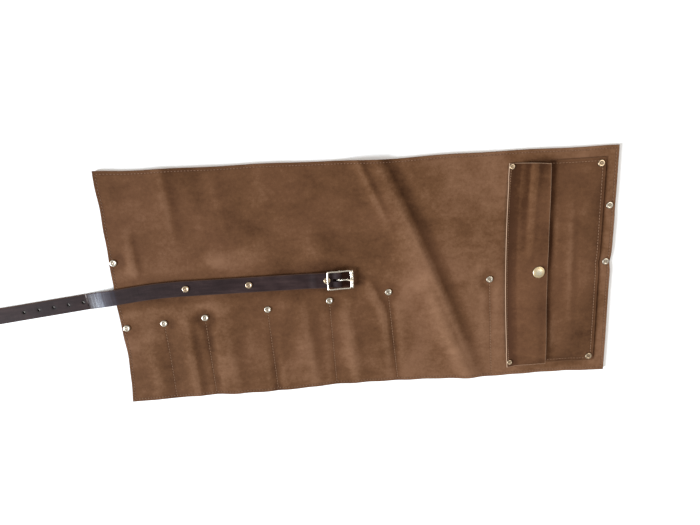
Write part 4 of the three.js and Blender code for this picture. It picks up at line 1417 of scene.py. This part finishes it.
# A lug on each side joins the centre bar to the ring above it.
ring_at_bar = heel_z - (bar_x - heel_x) * math.tan(ring_tilt)
lug_share = np.linspace(0, 1, 13)
lug_round = blunt(2 * lug_share - 1, 8)
lug_z = bar_z - 1.3 * mm + (ring_at_bar - bar_z + 1.6 * mm) * lug_share
lugs = []
for side_of in (-1, 1):
    lug_y = strap_side.y + side_of * (half_wide - 0.1 * mm)
    lug_path = np.column_stack([np.full_like(lug_z, bar_x), np.full_like(lug_z, lug_y), lug_z])
    lugs.append(rod(lug_path, 1.0 * mm * lug_round, 1.45 * mm * lug_round, ups=(1, 0, 0)))

buckle = welded("buckle_cast_frame", ring_bar, heel_bar, rib_bar, centre_bar, *lugs)
cast_points = np.zeros(len(buckle.data.vertices) * 3)
buckle.data.vertices.foreach_get("co", cast_points)
cast_x, _, cast_z = cast_points.reshape(-1, 3).T
# The lower half of every bar is painted darker as shade beneath it; on the ribbed outer bar the darkening
# reaches up between the ribs, where tarnish sits.
plane = heel_z - (cast_x - heel_x) * math.tan(ring_tilt)
below_ribs = np.clip((plane + 1.05 * mm - cast_z) / (0.6 * mm), 0, 1)
between_ribs = (cast_x > ring_high.x - 3.4 * mm) * below_ribs
mark(buckle, "patina_and_shade", np.clip((plane - cast_z) / (0.9 * mm), 0, 1) * 0.75 + between_ribs * 0.5)
buckle_nickel = plated("buckle_nickel", paint(238, 230, 214), paint(120, 104, 88), relief=0.008 * mm)
buckle.data.materials.append(buckle_nickel)
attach(buckle, "buckle")
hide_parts("buckle_frame")

# Tongue: bent wire. It is wrapped round the bar and lies over the ring in a shallow S, its tip resting on
# the outer bar, a little to one side.
tongue_radius = 1.0 * mm
eye_radius = bar_radius + 0.25 * mm + tongue_radius
eye_turn = np.radians(np.linspace(-215, 62, 40))
eye = np.column_stack([
    bar_x + eye_radius * np.cos(eye_turn),
    np.full_like(eye_turn, strap_side.y),
    bar_z + eye_radius * np.sin(eye_turn),
])
seat_z = heel_z - (ring_high.x - 2.3 * mm - heel_x) * math.tan(ring_tilt) + 1.45 * mm
reach = np.linspace(0, 1, 46)[1:]
shank_x = eye[-1, 0] + (ring_high.x + 0.3 * mm - eye[-1, 0]) * reach
sway = -1.6 * ease((reach - 0.25) / 0.6) + 0.9 * np.sin(math.pi * reach) * np.sin(2.4 * reach + 0.3)
shank_y = strap_side.y + mm * sway
stops = [eye[-1, 2], seat_z + 1.2 * mm, seat_z + 1.7 * mm, seat_z + 0.75 * mm, seat_z]
arch = np.interp(reach, [0, 0.2, 0.45, 0.8, 1], stops)
arch = np.convolve(np.concatenate([[arch[0]] * 4, arch, [arch[-1]] * 4]), np.ones(9) / 9, "valid")
tongue_path = np.concatenate([eye, np.column_stack([shank_x, shank_y, arch])])
taper = np.concatenate([np.ones_like(eye_turn), 1 - 0.22 * reach**2])
number = np.arange(len(taper))
from_end = np.minimum(number + 0.02, len(taper) - 1 - number + 0.02)
tongue_round = tongue_radius * taper * np.sqrt(np.clip(from_end / 2, 0, 1))
tongue = welded("buckle_wire_tongue", rod(tongue_path, tongue_round, tongue_round, ups=(0, 1, 0)))
mark(tongue, "patina_and_shade", np.zeros(len(tongue.data.vertices)))
tongue.data.materials.append(buckle_nickel)
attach(tongue, "tongue")
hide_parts("buckle_tongue")

# ---------------------------------------------------------------------------------------------
# Bench, light and camera: a pale bench, a broad soft light from the left and above it, a weak one
# from the other side, and a camera over the strap's side that looks down at the open roll.
# ---------------------------------------------------------------------------------------------
bench_corners = [(x, y, -0.2 * mm) for x, y in rectangle(-4, -4, 4, 4)]
bench = skin("floor", np.array(bench_corners), np.array([[0, 1, 2, 3]]))
bench_paint, tree, face = new_material("pale_bench")
bench_place = shader(tree, "TexCoord").outputs["Object"]
mottle = clouds(tree, bench_place, 6.0, 3.0)
tree.links.new(tint(tree, mottle, paint(246, 246, 246), paint(250, 250, 250)), face.inputs["Base Color"])
face.inputs["Roughness"].default_value = 0.9
bench.data.materials.append(bench_paint)


def soft_light(name, place, target, size, power, colour):
    """A square area light at a place, turned to face the target."""
    lamp = bpy.data.lights.new(name, "AREA")
    lamp.shape = "SQUARE"
    lamp.size = size
    lamp.energy = power
    lamp.color = colour
    made = bpy.data.objects.new(name, lamp)
    made.location = place
    towards = Vector(target) - Vector(place)
    made.rotation_euler = towards.to_track_quat("-Z", "Y").to_euler()
    bpy.context.scene.collection.objects.link(made)


soft_light("window_light", (-5.0, -1.75, 3.05), (0.05, 0.0, 0.0), 2.5, 730, (0.84, 0.92, 1.0))
soft_light("fill_light", (2.2, 0.9, 2.6), (0.1, 0.0, 0.0), 2.0, 45, (1.0, 0.95, 0.88))
world = bpy.data.worlds.new("studio")
world.use_nodes = True
sky = world.node_tree.nodes["Background"]
sky.inputs["Color"].default_value = (1.0, 0.98, 0.95, 1.0)
sky.inputs["Strength"].default_value = 0.5
bpy.context.scene.world = world
bpy.context.scene.view_settings.view_transform = "Standard"

lens = bpy.data.cameras.new("camera")
lens.sensor_width = 36
lens.lens = 25.86
lens.clip_start = 0.01
camera = bpy.data.objects.new("camera", lens)
camera.location = (49.7 * mm, 170.0 * mm, 609.3 * mm)
camera.rotation_euler = (math.radians(-13.66), math.radians(-2.82), math.radians(-2.88))
bpy.context.scene.collection.objects.link(camera)
bpy.context.scene.camera = camera
